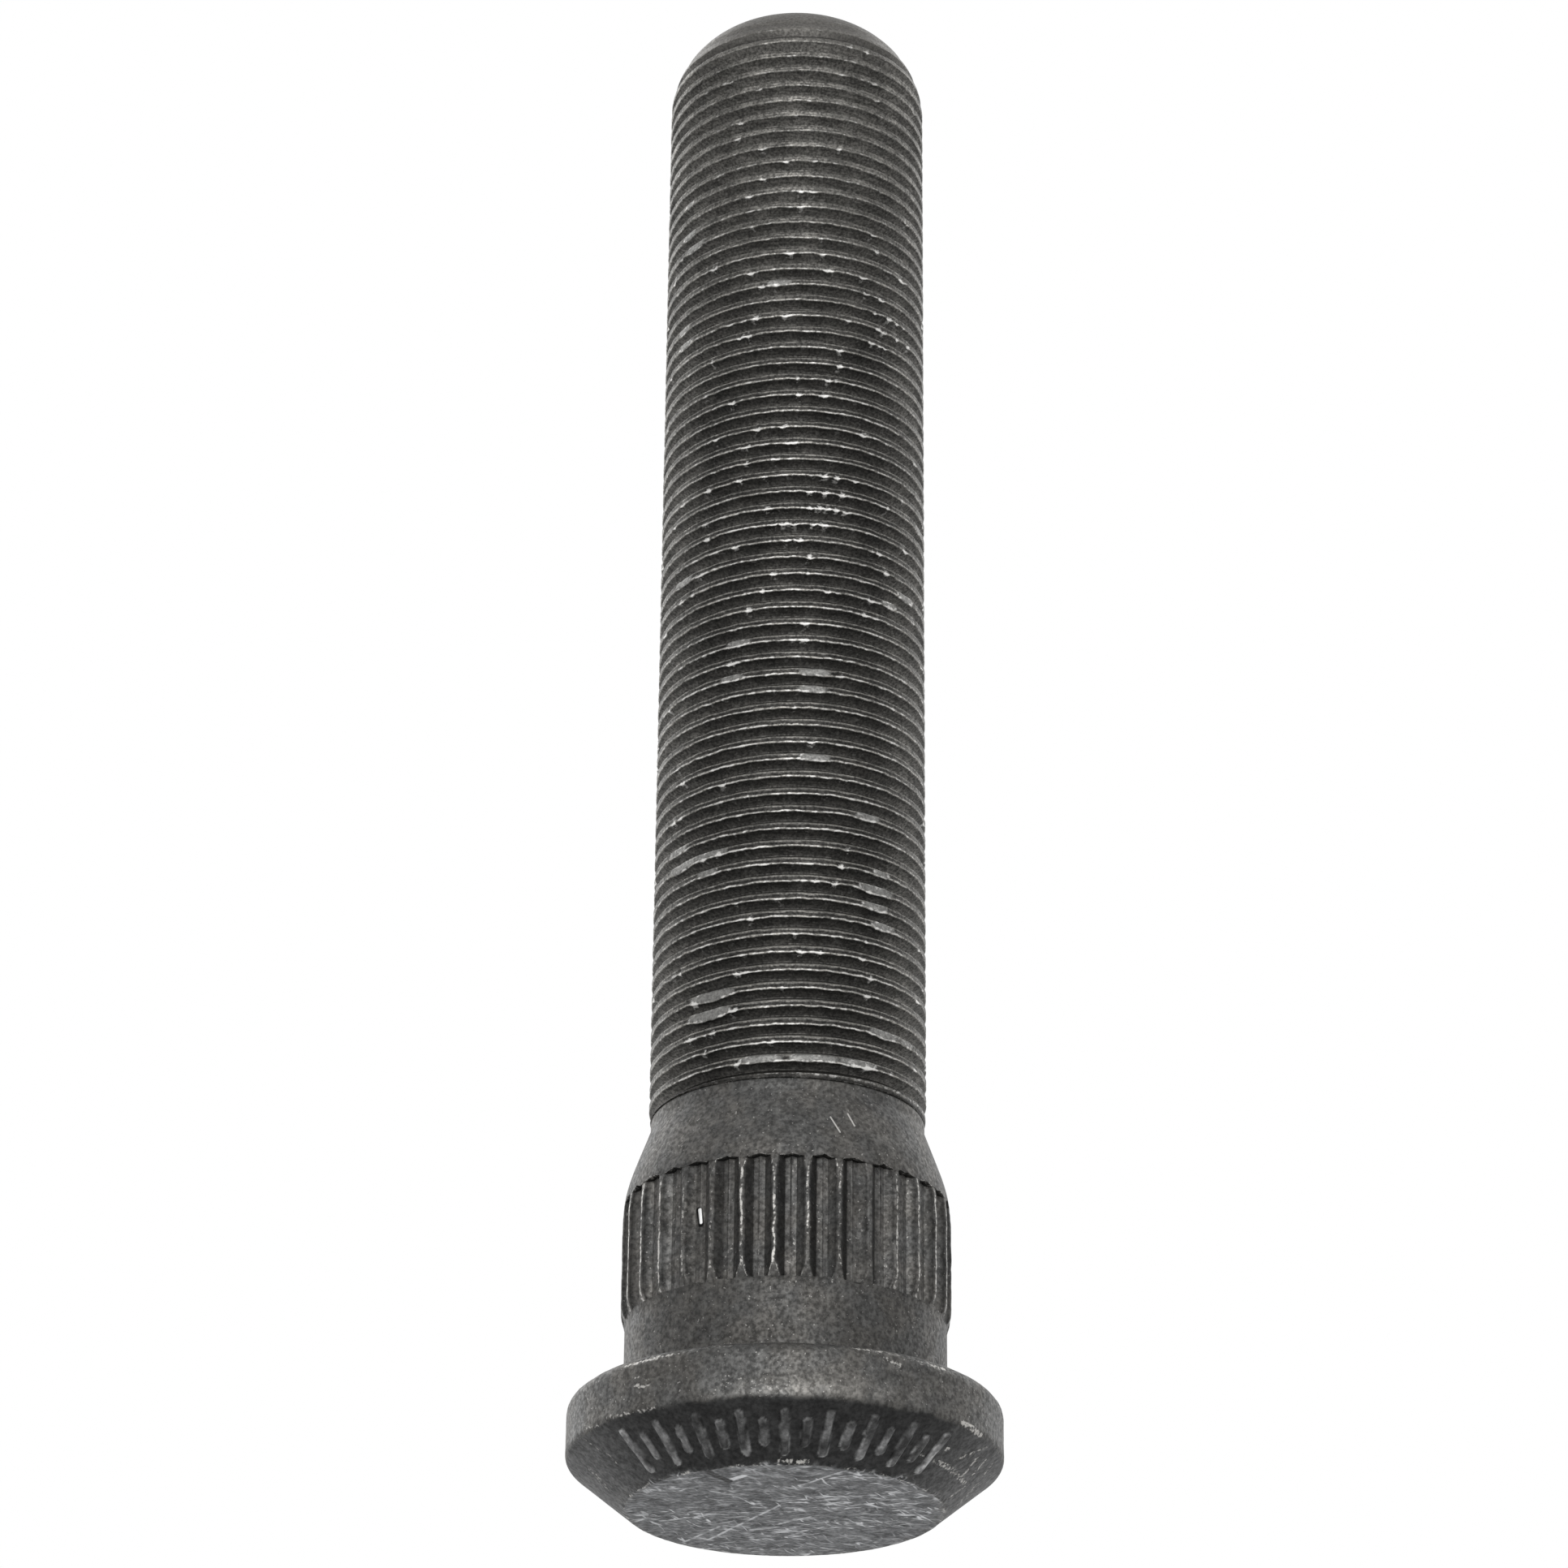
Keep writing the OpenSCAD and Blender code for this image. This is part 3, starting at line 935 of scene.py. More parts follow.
# %% [markdown]
# The forged skin
#
# Hot steel that cools grows a dark oxide, and the bath blackens it further. It isn't paint: it is a thin
# grainy layer, brownish in some places and cooler in others, and it shines weakly. One noise could make
# it, but it would look like one noise. So a slow one chooses between two near greys, a middle one makes
# blotches, and a fine one makes the grain, which the roughness and the bump share.

# %% Colour of the forged skin
DARK_WARM = (0.066, 0.0635, 0.0595)
DARK_COOL = (0.056, 0.0557, 0.0543)
# The bevel's own dark skin, partly painted shade for the dark that it mirrors
BEVEL_SHADE_GREY = (0.0265, 0.0265, 0.0265)
BARE_STEEL = (0.44, 0.43, 0.41)


def forged_colour(recipe, grain):
    slow = recipe.noise((0.35, 0.35, 0.35), 3.0)
    blotch = recipe.noise((1.1, 1.1, 0.7), 3.0, 0.6)
    speck = recipe.noise((4.5, 4.5, 4.5), 1.0)
    skin = recipe.mix(recipe.window(slow, 0.35, 0.65), DARK_COOL, DARK_WARM)
    skin = recipe.scale_colour(skin, recipe.window(blotch, 0.32, 0.68, 0.83, 1.19))
    skin = recipe.scale_colour(skin, recipe.window(grain, 0.3, 0.7, 0.67, 1.5))
    skin = recipe.mix(recipe.window(speck, 0.70, 0.77, 0.0, 0.45), skin, BARE_STEEL)
    # The bevel's grey, partly painted shade
    bevel = recipe.scale_colour(BEVEL_SHADE_GREY, recipe.window(grain, 0.3, 0.7, 0.75, 1.3))
    bevel = recipe.scale_colour(bevel, recipe.window(blotch, 0.32, 0.68, 0.75, 1.25))
    colour = recipe.mix(recipe.carried("bevel"), skin, bevel)
    # Painted light and shade by place, as the mesh carries it
    return recipe.scale_colour(colour, recipe.carried("shading_and_tone"))


print("greys of the forged skin:", DARK_WARM, DARK_COOL, BEVEL_SHADE_GREY)

# %% [markdown]
# The end face
#
# The end face has lain on benches, so it is paler, bluish and full of fine scratches that run nearly the
# same way. Where a stretched noise crosses its middle value it draws long thin lines that wander like
# scratches do, and four such noises, turned differently and broken up, cross each other. The longest
# scratches are placed one by one.

# %% Colour of the end face
FACE_DARK = (0.032, 0.033, 0.035)
FACE_GREY = (0.088, 0.09, 0.093)
FACE_PALE = (0.45, 0.455, 0.465)
STROKE_TURNS = (5, -20, 34, 62)
# Long light scratches: from X and Y to X and Y, in mm
LONG_SCRATCHES = [
    ((-5.85, 7.7), (-0.35, -1.7)), ((-9.45, 2.75), (-5.2, 0.7)), ((1.1, -6.95), (4.65, -11.05)),
    ((-7.85, 8.55), (-4.95, 4.15)), ((-0.35, 3.2), (2.0, 1.25)),
]
LONG_SCRATCH_HALF = 0.13


def fine_strokes(recipe):
    """How much of each place is a fine scratch, and a noise that breaks long lines."""
    strokes = 0.0
    for turn_degrees in STROKE_TURNS:
        wave = recipe.noise((0.22, 0.95, 1.0), 1.5, 0.5, turn_degrees, turn_degrees)
        line = recipe.math("ABSOLUTE", recipe.math("SUBTRACT", wave, 0.5))
        line = recipe.window(line, 0.008, 0.042, 1.0, 0.0)
        broken = recipe.noise((0.6, 1.2, 1.0), 2.0, 0.5, turn_degrees, turn_degrees + 90)
        line = recipe.math("MULTIPLY", line, recipe.window(broken, 0.50, 0.66))
        strokes = recipe.math("MAXIMUM", line, strokes)
    return strokes, broken


def end_face_colour(recipe, strokes, broken):
    dark = recipe.noise((0.3, 0.6, 1.0), 4.0, 0.7)
    fleck = recipe.noise((1.6, 3.2, 1.0), 3.0, 0.65, 8)
    face = recipe.mix(recipe.window(dark, 0.40, 0.56), FACE_DARK, FACE_GREY)
    face = recipe.scale_colour(face, recipe.window(fleck, 0.34, 0.66, 0.45, 1.6))
    patches_of_strokes = recipe.window(recipe.noise((0.14, 0.26, 1.0), 1.0), 0.4, 0.58, 0.35, 1.0)
    face = recipe.mix(recipe.math("MULTIPLY", strokes, patches_of_strokes), face, FACE_PALE)
    gaps = recipe.window(broken, 0.35, 0.55, 0.15, 0.7)
    for start, end in LONG_SCRATCHES:
        share = recipe.math("MULTIPLY", recipe.stroke(start, end, LONG_SCRATCH_HALF), gaps)
        face = recipe.mix(share, face, FACE_PALE)
    return face


print("long scratches on the end face:", len(LONG_SCRATCHES))

# %% [markdown]
# The single marks and the whole finish
#
# A few marks catch the eye: a crack painted black as painted shade, with a pale chip beside it on the end
# face, a white chip with a painted shadow between two teeth, and two short scratches on the cone. Each is a
# stroke with round ends, set by its two ends in millimetres. Over all of it lies the bare steel, where the
# mesh gives wear or painted sheen.

# %% Material of the head and the shoulder
# Black for painted shade: inside the crack and beside the chip between two teeth
SHADE_BLACK = (0.004, 0.004, 0.004)
CHIP_WHITE = (0.85, 0.85, 0.84)
CRACK = [((-5.8, -10.9), (-5.3, -9.6)), ((-5.3, -9.6), (-4.1, -7.95))]
CRACK_HALF = 0.36
CONE_SCRATCHES = [((3.25, 27.72), (3.98, 26.41)), ((4.57, 28.25), (5.09, 27.21))]
CONE_SCRATCH_HALF = 0.065
# Single chips: from, to and half width
FACE_CHIP = ((-4.1, -8.1), (-3.0, -9.25), 0.3)
TOOTH_CHIP_SHADOW = ((-6.64, 20.5), (-6.46, 19.3), 0.25)
TOOTH_CHIP = ((-6.57, 20.5), (-6.46, 19.45), 0.125)


def forged_skin():
    recipe = Recipe("forged_black_oxide")
    grain = recipe.noise((3.0, 3.0, 3.0), 3.0, 0.6)
    on_face = recipe.carried("end_face")
    strokes, broken = fine_strokes(recipe)
    face = end_face_colour(recipe, strokes, broken)
    face = recipe.mix(recipe.stroke(*FACE_CHIP), face, FACE_PALE)
    colour = recipe.mix(on_face, forged_colour(recipe, grain), face)
    # The crack on the end face is painted black, as painted shade in a crack that the mesh doesn't cut
    crack = recipe.math("MAXIMUM", *[recipe.stroke(start, end, CRACK_HALF) for start, end in CRACK])
    colour = recipe.mix(recipe.math("MULTIPLY", crack, on_face), colour, SHADE_BLACK)

    sparkle = recipe.noise((4.0, 4.0, 4.0), 2.0)
    # Bare steel where the mesh gives wear, and on the rim's painted highlight
    rubbed = recipe.math("ADD", recipe.carried("wear_and_sheen"), recipe.window(sparkle, 0.3, 0.7, -0.45, 0.25))
    colour = recipe.mix(recipe.window(rubbed, 0.25, 0.85), colour, BARE_STEEL)
    for start, end in CONE_SCRATCHES:
        colour = recipe.mix(recipe.stroke(start, end, CONE_SCRATCH_HALF, True), colour, BARE_STEEL)
    # A painted shadow beside the white chip
    colour = recipe.mix(recipe.stroke(*TOOTH_CHIP_SHADOW, True), colour, SHADE_BLACK)
    colour = recipe.mix(recipe.stroke(*TOOTH_CHIP, True), colour, CHIP_WHITE)
    rough = recipe.window(grain, 0.3, 0.7, 0.62, 0.46)
    normal = recipe.bump(grain, 0.04, 0.6)
    normal = recipe.bump(recipe.math("MULTIPLY", strokes, on_face), 0.03, 0.6, normal)
    return recipe.finish(colour, rough, normal)


skin_material = forged_skin()
print("material:", skin_material.name)

# %% Put the head and the shoulder together
SHARP_DEGREES = 38
FACE_CENTRE_Z = 0.02

ring_points = to_points(angle_all, r_all, z_all)
bottom_centre = len(ring_points)
top_centre = bottom_centre + 1
centre_points = np.array([[0, 0, FACE_CENTRE_Z], [0, 0, NECK_HIGH]]) * MM
rows = len(r_all)
faces = grid_faces(rows, COLUMNS)
last = (rows - 1) * COLUMNS
for i in range(COLUMNS):
    j = (i + 1) % COLUMNS
    faces.append((bottom_centre, j, i))
    faces.append((top_centre, last + i, last + j))
head_values = {
    "wear_and_sheen": np.concatenate([wear_and_sheen.ravel(), [0, 0]]),
    "shading_and_tone": np.concatenate([shading_and_tone.ravel(), [1, 1]]),
    "end_face": np.concatenate([is_face.ravel(), [1, 0]]),
    "bevel": np.concatenate([is_bevel.ravel(), [0, 0]]),
}
head_points = np.vstack([ring_points, centre_points])
head_piece = make_piece(
    "head_and_shoulder", head_points, faces, head_values, skin_material, SHARP_DEGREES
)
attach(head_piece, "root")
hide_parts("wheel_stud")

# %% [markdown]
# The thread as one long ramp
#
# A thread can be faked with rings, but rings don't climb, and a nut couldn't run on them. Here the rows of
# the mesh follow a true right-hand helix: each row rises one pitch on its way round and meets the row of
# the next turn behind the stud. Seven rows make one ridge: the foot of the flank, a point just under the
# crest, two lips with a shallow channel between them across the crest, and the foot of the upper flank.
# The columns lie closer together on the side that has the most dents.

# %% Sizes and rows of the thread
PITCH = 1.5
CREST_R = 10.9
CREST_W = 0.43
ROOT_W = 0.13
HALF_ANGLE = math.radians(30)
FLANK_RISE = (PITCH - CREST_W - ROOT_W) / 2
ROOT_R = CREST_R - FLANK_RISE / math.tan(HALF_ANGLE)
FIRST_CREST_Z = 30.97
TURNS = 65
EDGE_STEP = 0.07
LIP_W = 0.13
SEAM_DEPTH = 0.04
ROW_OFFSETS = np.array([-FLANK_RISE, -EDGE_STEP, 0, LIP_W, CREST_W - LIP_W, CREST_W, CREST_W + FLANK_RISE])
ROWS_PER_TURN = len(ROW_OFFSETS)
THREAD_COLUMNS = 196
CROWDING = 0.3

NOSE_R = 7.5
NOSE_CENTRE_R = CREST_R - NOSE_R
TIP_R = 6.8
STUD_LEN = 131.001
NOSE_LOW = STUD_LEN - math.sqrt(NOSE_R ** 2 - (TIP_R - NOSE_CENTRE_R) ** 2)
LAST_TRACE = 0.16
TRACE_FADES = 127.6
TRACE_ENDS = 128.8

turn_share = np.arange(THREAD_COLUMNS) / THREAD_COLUMNS
thread_angle = 360 * turn_share - 180 + CROWDING * 180 / math.pi * np.sin(2 * math.pi * turn_share)
start_z = FIRST_CREST_Z + PITCH / 2 - FLANK_RISE
print("root radius:", round(ROOT_R, 3), "thread starts at", round(start_z, 3))


def thread_radius(angle, z):
    """Radius of the plain thread at any place of the skin."""
    above = z - FIRST_CREST_Z - PITCH * angle / 360
    in_turn = above % PITCH
    upper = CREST_R - (in_turn - CREST_W) / math.tan(HALF_ANGLE)
    lower = CREST_R - (PITCH - in_turn) / math.tan(HALF_ANGLE)
    ridge = np.minimum(np.maximum(np.maximum(upper, lower), ROOT_R), CREST_R)
    return np.where(in_turn < CREST_W, CREST_R, ridge)


def nose_radius(z):
    """Radius of the rounded nose, and of the crests under it."""
    rise = np.clip(z - NOSE_LOW, 0, STUD_LEN - NOSE_LOW)
    return NOSE_CENTRE_R + np.sqrt(NOSE_R ** 2 - rise ** 2)


def nose_skin(angle, z):
    """Radius of the nose with the last trace of the thread, which the rolling pressed into it."""
    groove = (CREST_R - thread_radius(angle, z)) / (CREST_R - ROOT_R)
    return nose_radius(z) - LAST_TRACE * groove * (1 - ease(z, TRACE_FADES, TRACE_ENDS))


# %% [markdown]
# Dents in the crests
#
# Studs are shipped loose in a crate and knock against each other, and the crests take the blows. A blow
# leaves a small flat facet across the ridge, so each dent here is a plane that cuts the crest: how deep
# it goes follows from the distance to its middle. The larger ones and the brightest nicks are placed one
# by one, and small nicks are strewn all round from a fixed seed.

# %% Dents
# Each dent: angle from the front in degrees, height in mm, half height in mm, depth in mm
DENTS = [
    (-55.5, 108.6, 0.7, 0.08), (-52, 107.0, 0.9, 0.13), (-7, 101.6, 0.4, 0.06), (32, 102.9, 0.4, 0.06),
    (-55, 75.7, 0.6, 0.10), (73, 82.9, 0.6, 0.12), (51, 75.6, 0.5, 0.11), (55, 74.5, 0.5, 0.13),
    (48, 73.0, 0.5, 0.11), (-23, 68.3, 0.5, 0.09), (10, 65.5, 0.5, 0.12), (9, 64.0, 0.5, 0.10),
    (-26, 65.3, 0.5, 0.09), (10, 58.1, 0.5, 0.09), (34, 54.0, 0.5, 0.09), (-55, 51.5, 0.7, 0.16),
    (-53, 50.2, 0.8, 0.18), (-40, 50.3, 0.4, 0.07), (-32, 50.4, 0.4, 0.06), (-37, 48.9, 0.4, 0.06),
    (42, 48.9, 0.6, 0.15), (40, 47.4, 0.8, 0.28), (39, 46.1, 0.6, 0.12), (43, 44.6, 0.5, 0.13),
    (-16, 44.1, 0.5, 0.10), (-34, 38.2, 0.8, 0.32), (-35, 36.7, 0.8, 0.32), (44, 35.6, 0.7, 0.17),
    (59, 35.5, 0.6, 0.13), (-13, 32.4, 0.5, 0.10), (27, 32.6, 0.5, 0.08), (34, 32.5, 0.5, 0.08),
    (-150, 96.0, 0.7, 0.15), (148, 61.0, 0.8, 0.18), (-118, 43.5, 0.7, 0.16), (112, 88.0, 0.6, 0.12),
    (171, 40.2, 0.7, 0.14), (-165, 70.6, 0.6, 0.12), (-17, 32.2, 0.5, 0.10), (-8, 32.4, 0.5, 0.09),
    (7, 32.5, 0.5, 0.10), (16, 32.5, 0.5, 0.08), (-59, 99.5, 0.7, 0.08), (-57, 98.1, 0.7, 0.08),
    (-56, 111.5, 0.6, 0.06), (46, 73, 0.6, 0.08), (58, 74.8, 0.6, 0.08),
]


def dent_depth(dents, angle, z):
    """How deep a list of dents cuts the crest circle, in mm and as a share of the dent's own depth."""
    depth = np.zeros(np.broadcast(angle, z).shape)
    share = np.zeros_like(depth)
    for dent_angle, dent_z, half_height, deepest in dents:
        apart = np.radians((angle - dent_angle + 180) % 360 - 180)
        cut = deepest * (1 - ((z - dent_z) / half_height) ** 2) - CREST_R * (1 - np.cos(apart))
        depth = np.maximum(depth, cut)
        share = np.maximum(share, cut / deepest)
    return depth, share


print("dents:", len(DENTS))

# %% Nicks
# Each bright nick that is placed one by one: angle and height
BRIGHT_NICKS = [
    (19, 47.7), (22, 49.1), (5, 41.6), (32, 41.7), (28, 32.7), (34.5, 32.6), (-52, 41.2), (-21, 40),
    (-16, 44.3), (34.5, 38.6), (-43, 38.3), (-39.5, 50.3), (-31, 50.3), (36, 40.1), (-18, 120.8),
    (19, 115.1), (-4.5, 113.5), (-15.5, 114.9), (-32, 122), (37, 122.5), (-14.5, 111.9), (2, 110.4),
    (-21, 110.4), (38, 121), (-26, 117.7), (33.5, 125.4), (24, 125.2), (31, 103.3), (31, 102.8),
    (33, 101.6), (35.5, 97.4), (20, 95.4), (20, 93.9), (37, 107.6), (57, 104.7), (-8.5, 101.5),
    (-15, 101.4), (-21, 96.9), (-25, 96.9), (-17, 98.4), (-4, 98.4), (2, 91), (15, 92.5), (13, 90.7),
    (-28, 90.8), (-39, 104.4), (-20, 102.9), (-2.5, 104.5), (12, 104.5), (38, 100.2), (39, 106.2),
    (13, 83.5), (19, 83.6), (7, 82), (13.5, 81.9), (21.5, 82), (7.5, 80.4), (11.5, 80.5), (14.5, 80.3),
    (19, 80.6), (23.5, 80.5), (-4, 79), (0, 79), (8.5, 79), (13, 79), (2.5, 77.4), (-16.5, 87.9),
    (-2.5, 86.5), (-24, 83.3), (-40, 83.3), (-40, 78.8), (-26, 77.3), (-8, 74.5), (15, 73.1),
    (32, 88.2), (-19, 71.4), (7.5, 76.1), (33, 71.6), (42, 101.7), (43, 98.7), (41, 97.2), (46, 100.2),
    (52, 98.7), (61, 99.2), (60, 110.6), (45, 76.1), (36, 72.9), (58, 79.1), (52, 100.1), (44, 97.3),
    (55, 104.6),
]
BRIGHT_HALF_DEGREES = 1.8
BRIGHT_DEPTH = 0.10
NICK_SEED = 5
NICK_COUNT = 460
NICKS_LOW = 32
NICKS_HIGH = 124
NICK_REACH = 0.5


def on_crest_line(angle, z):
    """The height of the middle of the crest that is nearest to a place."""
    first = FIRST_CREST_Z + CREST_W / 2 + PITCH * angle / 360
    return first + PITCH * np.round((z - first) / PITCH)


def all_nicks():
    """The placed and the strewn nicks, as rows of angle, height, half width in degrees and depth."""
    rng = np.random.default_rng(NICK_SEED)
    strewn = np.column_stack([
        rng.uniform(-180, 180, NICK_COUNT),
        rng.uniform(NICKS_LOW, NICKS_HIGH, NICK_COUNT),
        rng.uniform(0.9, 3.0, NICK_COUNT),
        rng.uniform(0.02, 0.09, NICK_COUNT) * rng.uniform(0.3, 1.2, NICK_COUNT),
    ])
    placed = [(angle, z, BRIGHT_HALF_DEGREES, BRIGHT_DEPTH) for angle, z in BRIGHT_NICKS]
    nicks = np.vstack([np.array(placed), strewn])
    nicks[:, 1] = on_crest_line(nicks[:, 0], nicks[:, 1])
    return nicks


def nick_depth(nicks, angle, z):
    """How deep a list of nicks goes into the lips at each place."""
    depth = np.zeros(np.broadcast(angle, z).shape)
    for nick_angle, nick_z, half_width, deepest in nicks:
        apart = (angle - nick_angle + 180) % 360 - 180
        cut = deepest * (1 - (apart / half_width) ** 2) * (np.abs(z - nick_z) < NICK_REACH)
        depth = np.maximum(depth, cut)
    return depth


print("nicks:", len(all_nicks()))

# %% Rows and columns of the helix
row_count = TURNS * ROWS_PER_TURN + 1
row = np.arange(row_count)
row_turn = row // ROWS_PER_TURN
row_kind = row % ROWS_PER_TURN


def per_row(values):
    """One value for each of the seven kinds of row, for all rows of the helix."""
    return np.array(values)[row_kind][:, None]


helix_angle = np.broadcast_to(thread_angle, (row_count, THREAD_COLUMNS))
crest_z = FIRST_CREST_Z + PITCH * (row_turn + 1)[:, None] + PITCH * helix_angle / 360
is_crest = per_row([0, 0, 1, 1, 1, 1, 0]) == 1
is_edge = per_row([0, 1, 0, 0, 0, 0, 0]) == 1
in_seam = per_row([0, 0, 0, 1, 1, 0, 0])
print("rows of the thread:", row_count, "columns:", THREAD_COLUMNS)

# %% Points of the helix
# Where a dent starts to show on each row, as a share of its depth: later on the edges, so that it is a lens
dent_start = per_row([0.5, 0.5, 0.42, 0.1, 0.1, 0.42, 0.5])
DENT_SOFTNESS = 0.3
# Which way each row is squeezed by a blow
outward = per_row([0.0, -1.0, -1.0, -0.5, 0.5, 1.0, 0.0])
SQUEEZE = 1.25

edge_r = CREST_R - EDGE_STEP / math.tan(HALF_ANGLE)
helix_r = np.where(is_crest, CREST_R, np.where(is_edge, edge_r, ROOT_R))
helix_z = crest_z + per_row(ROW_OFFSETS)
blows, blow_share = dent_depth(DENTS, helix_angle, crest_z + CREST_W / 2)
nicks = nick_depth(all_nicks(), helix_angle, crest_z + CREST_W / 2)
dents = np.maximum(blows, nicks)
in_dent = ease(blow_share, dent_start, dent_start + DENT_SOFTNESS)
in_nick = ease(nicks, 0.01, 0.06)
seam = SEAM_DEPTH * in_seam * (1 - in_dent)
waviness = 0.014 * (1 + around(helix_angle, helix_z, 90, 1.5, 51)) * is_crest
lean = 0.05 * around(helix_angle, helix_z, 140, 0.3, 52) * (is_crest | is_edge)
widen = SQUEEZE * dents * math.tan(HALF_ANGLE)
helix_r = np.where(is_crest | is_edge, helix_r - dents, helix_r) - waviness - seam
helix_z = helix_z + widen * outward + lean
helix_r = np.minimum(helix_r, nose_skin(helix_angle, helix_z))
print("smallest and largest radius:", round(float(helix_r.min()), 3), round(float(helix_r.max()), 3))

# %% [markdown]
# Where the thread starts and ends
#
# A ramp leaves a wedge open at its foot and at its top. At the foot the wedge is filled down to a flat ring
# on the neck, with rows that all start at one point and spread until they meet the first turn. The shape
# there is the neck's edge with the first groove in it, and the first crest rises out of it. The top
# wedge is filled the same way, on the rounded nose, which the thread has left by then.

# %% The two wedges
WEDGE_SHARES = np.append((ROW_OFFSETS - ROW_OFFSETS[0]) / PITCH, 1.0)
FIRST_RIDGE_R = 10.8
FOOT_RISE = math.tan(math.radians(60))
FOOT_EDGE = 0.06
# Heights of the smooth rings between the last turn and the tip, and radii of the rings on the flat tip
TOP_GAP = 0.15
NOSE_RINGS_Z = [130.55, 130.7, 130.83, 130.93, STUD_LEN]
TIP_RINGS_R = [6.3, 4.2, 2.1]


def foot_radius(angle, z):
    """Radius round the foot of the thread: the neck's edge, the low first ridge and the first groove."""
    wall = NECK_R - np.clip(z - NECK_HIGH, 0, None) * FOOT_RISE
    first = (z - FIRST_CREST_Z - PITCH * angle / 360) < CREST_W + FLANK_RISE
    grown = FIRST_RIDGE_R + (CREST_R - FIRST_RIDGE_R) * ease(angle, 60, 170)
    ridge = np.minimum(thread_radius(angle, z), np.where(first, grown, CREST_R))
    return np.maximum(np.maximum(ridge, wall), ROOT_R)


helix_r[0] = foot_radius(helix_angle[0], helix_z[0])
share_of_turn = (thread_angle + 180) / 360
wedge_rows = ROWS_PER_TURN + 1
low_wedge_z = start_z + WEDGE_SHARES[:, None] * PITCH * share_of_turn
wedge_angle = np.broadcast_to(thread_angle, low_wedge_z.shape)
low_wedge_r = foot_radius(wedge_angle, low_wedge_z)
high_start = start_z + PITCH * TURNS
high_wedge_z = high_start + PITCH * share_of_turn + WEDGE_SHARES[:, None] * PITCH * (1 - share_of_turn)
high_wedge_r = np.minimum(thread_radius(wedge_angle, high_wedge_z), nose_skin(wedge_angle, high_wedge_z))

foot_z = [NECK_HIGH, NECK_HIGH + FOOT_EDGE]
nose_z = [high_start + PITCH + TOP_GAP] + NOSE_RINGS_Z
print("foot ring at", round(start_z, 3), "top ring at", round(high_start + PITCH, 3))

# %% Points and faces of the thread
thread_parts = []
part_start = {}


def add_part(name, angle, radius, z):
    """Keeps a block of points and remembers where it starts."""
    part_start[name] = sum(len(part[0].ravel()) for part in thread_parts)
    angle, radius, z = np.broadcast_arrays(angle, radius, z)
    thread_parts.append((angle.astype(float), radius.astype(float), z.astype(float)))


add_part("helix", helix_angle, helix_r, helix_z)
add_part("low_wedge", wedge_angle[:-1], low_wedge_r[:-1], low_wedge_z[:-1])
add_part("high_wedge", wedge_angle[1:], high_wedge_r[1:], high_wedge_z[1:])
foot_heights = np.array(foot_z)[:, None]
add_part("foot", thread_angle[None, :], foot_radius(thread_angle[None, :], foot_heights), foot_heights)
nose_heights = np.array(nose_z)[:, None]
add_part("nose", thread_angle[None, :], nose_radius(nose_heights), nose_heights)
add_part("tip", thread_angle[None, :], np.array(TIP_RINGS_R)[:, None], STUD_LEN)
add_part("centres", np.zeros(2), np.zeros(2), np.array([NECK_HIGH, STUD_LEN]))


def helix_point(r, i):
    """The number of a point of the helix. After the last column a row goes on as the row one turn up."""
    if i == THREAD_COLUMNS:
        r = r + ROWS_PER_TURN
        i = 0
    if r < row_count:
        return part_start["helix"] + r * THREAD_COLUMNS + i
    return high_point(r - row_count + 1, 0)


def low_point(k, i):
    """The number of a point of the lower wedge, whose rows start in one point and end on the helix."""
    if i == 0:
        return helix_point(0, 0)
    if i == THREAD_COLUMNS:
        return helix_point(k, 0)
    if k == wedge_rows - 1:
        return helix_point(0, i)
    return part_start["low_wedge"] + k * THREAD_COLUMNS + i


def high_point(k, i):
    """The number of a point of the upper wedge, whose rows end in one point."""
    if i == THREAD_COLUMNS:
        return high_point(wedge_rows - 1, 0)
    if k == 0:
        return helix_point(row_count - 1, i)
    return part_start["high_wedge"] + (k - 1) * THREAD_COLUMNS + i


def ring_point(name, k):
    """The points of one flat ring."""
    return lambda i: part_start[name] + k * THREAD_COLUMNS + i % THREAD_COLUMNS


def strip(low, high):
    """Faces between two rows of points, where equal corners make a triangle."""
    made = []
    for i in range(THREAD_COLUMNS):
        corners = [low(i), low(i + 1), high(i + 1), high(i)]
        kept = [c for n, c in enumerate(corners) if c != corners[n - 1]]
        if len(kept) > 2:
            made.append(tuple(kept))
    return made


thread_faces = []
for r in range(row_count - 1):
    thread_faces += strip(lambda i: helix_point(r, i), lambda i: helix_point(r + 1, i))
for k in range(wedge_rows - 1):
    thread_faces += strip(lambda i: low_point(k, i), lambda i: low_point(k + 1, i))
    thread_faces += strip(lambda i: high_point(k, i), lambda i: high_point(k + 1, i))
rings_below = [ring_point("foot", k) for k in range(len(foot_z))] + [lambda i: low_point(0, i)]
rings_above = [lambda i: high_point(wedge_rows - 1, i)]
rings_above += [ring_point("nose", k) for k in range(len(nose_z))]
rings_above += [ring_point("tip", k) for k in range(len(TIP_RINGS_R))]
for rings in (rings_below, rings_above):
    for low, high in zip(rings, rings[1:]):
        thread_faces += strip(low, high)
bottom = part_start["centres"]
thread_faces += strip(lambda i: bottom, rings_below[0])
thread_faces += strip(rings_above[-1], lambda i: bottom + 1)
print("faces of the thread:", len(thread_faces))

# %% [markdown]
# The wear of the thread, with painted highlight
#
# The crests are rubbed to bright dotted lines, brightest on their lower edge, and the nicks and the rims
# of the dents are brighter still. The crests are brighter in front than at the sides, which is painted
# highlight. An edge-wear node could find the crests, but not which of their edges was rubbed. Here every
# kind of row has its own wear, and a noise round the stud breaks it into dots.

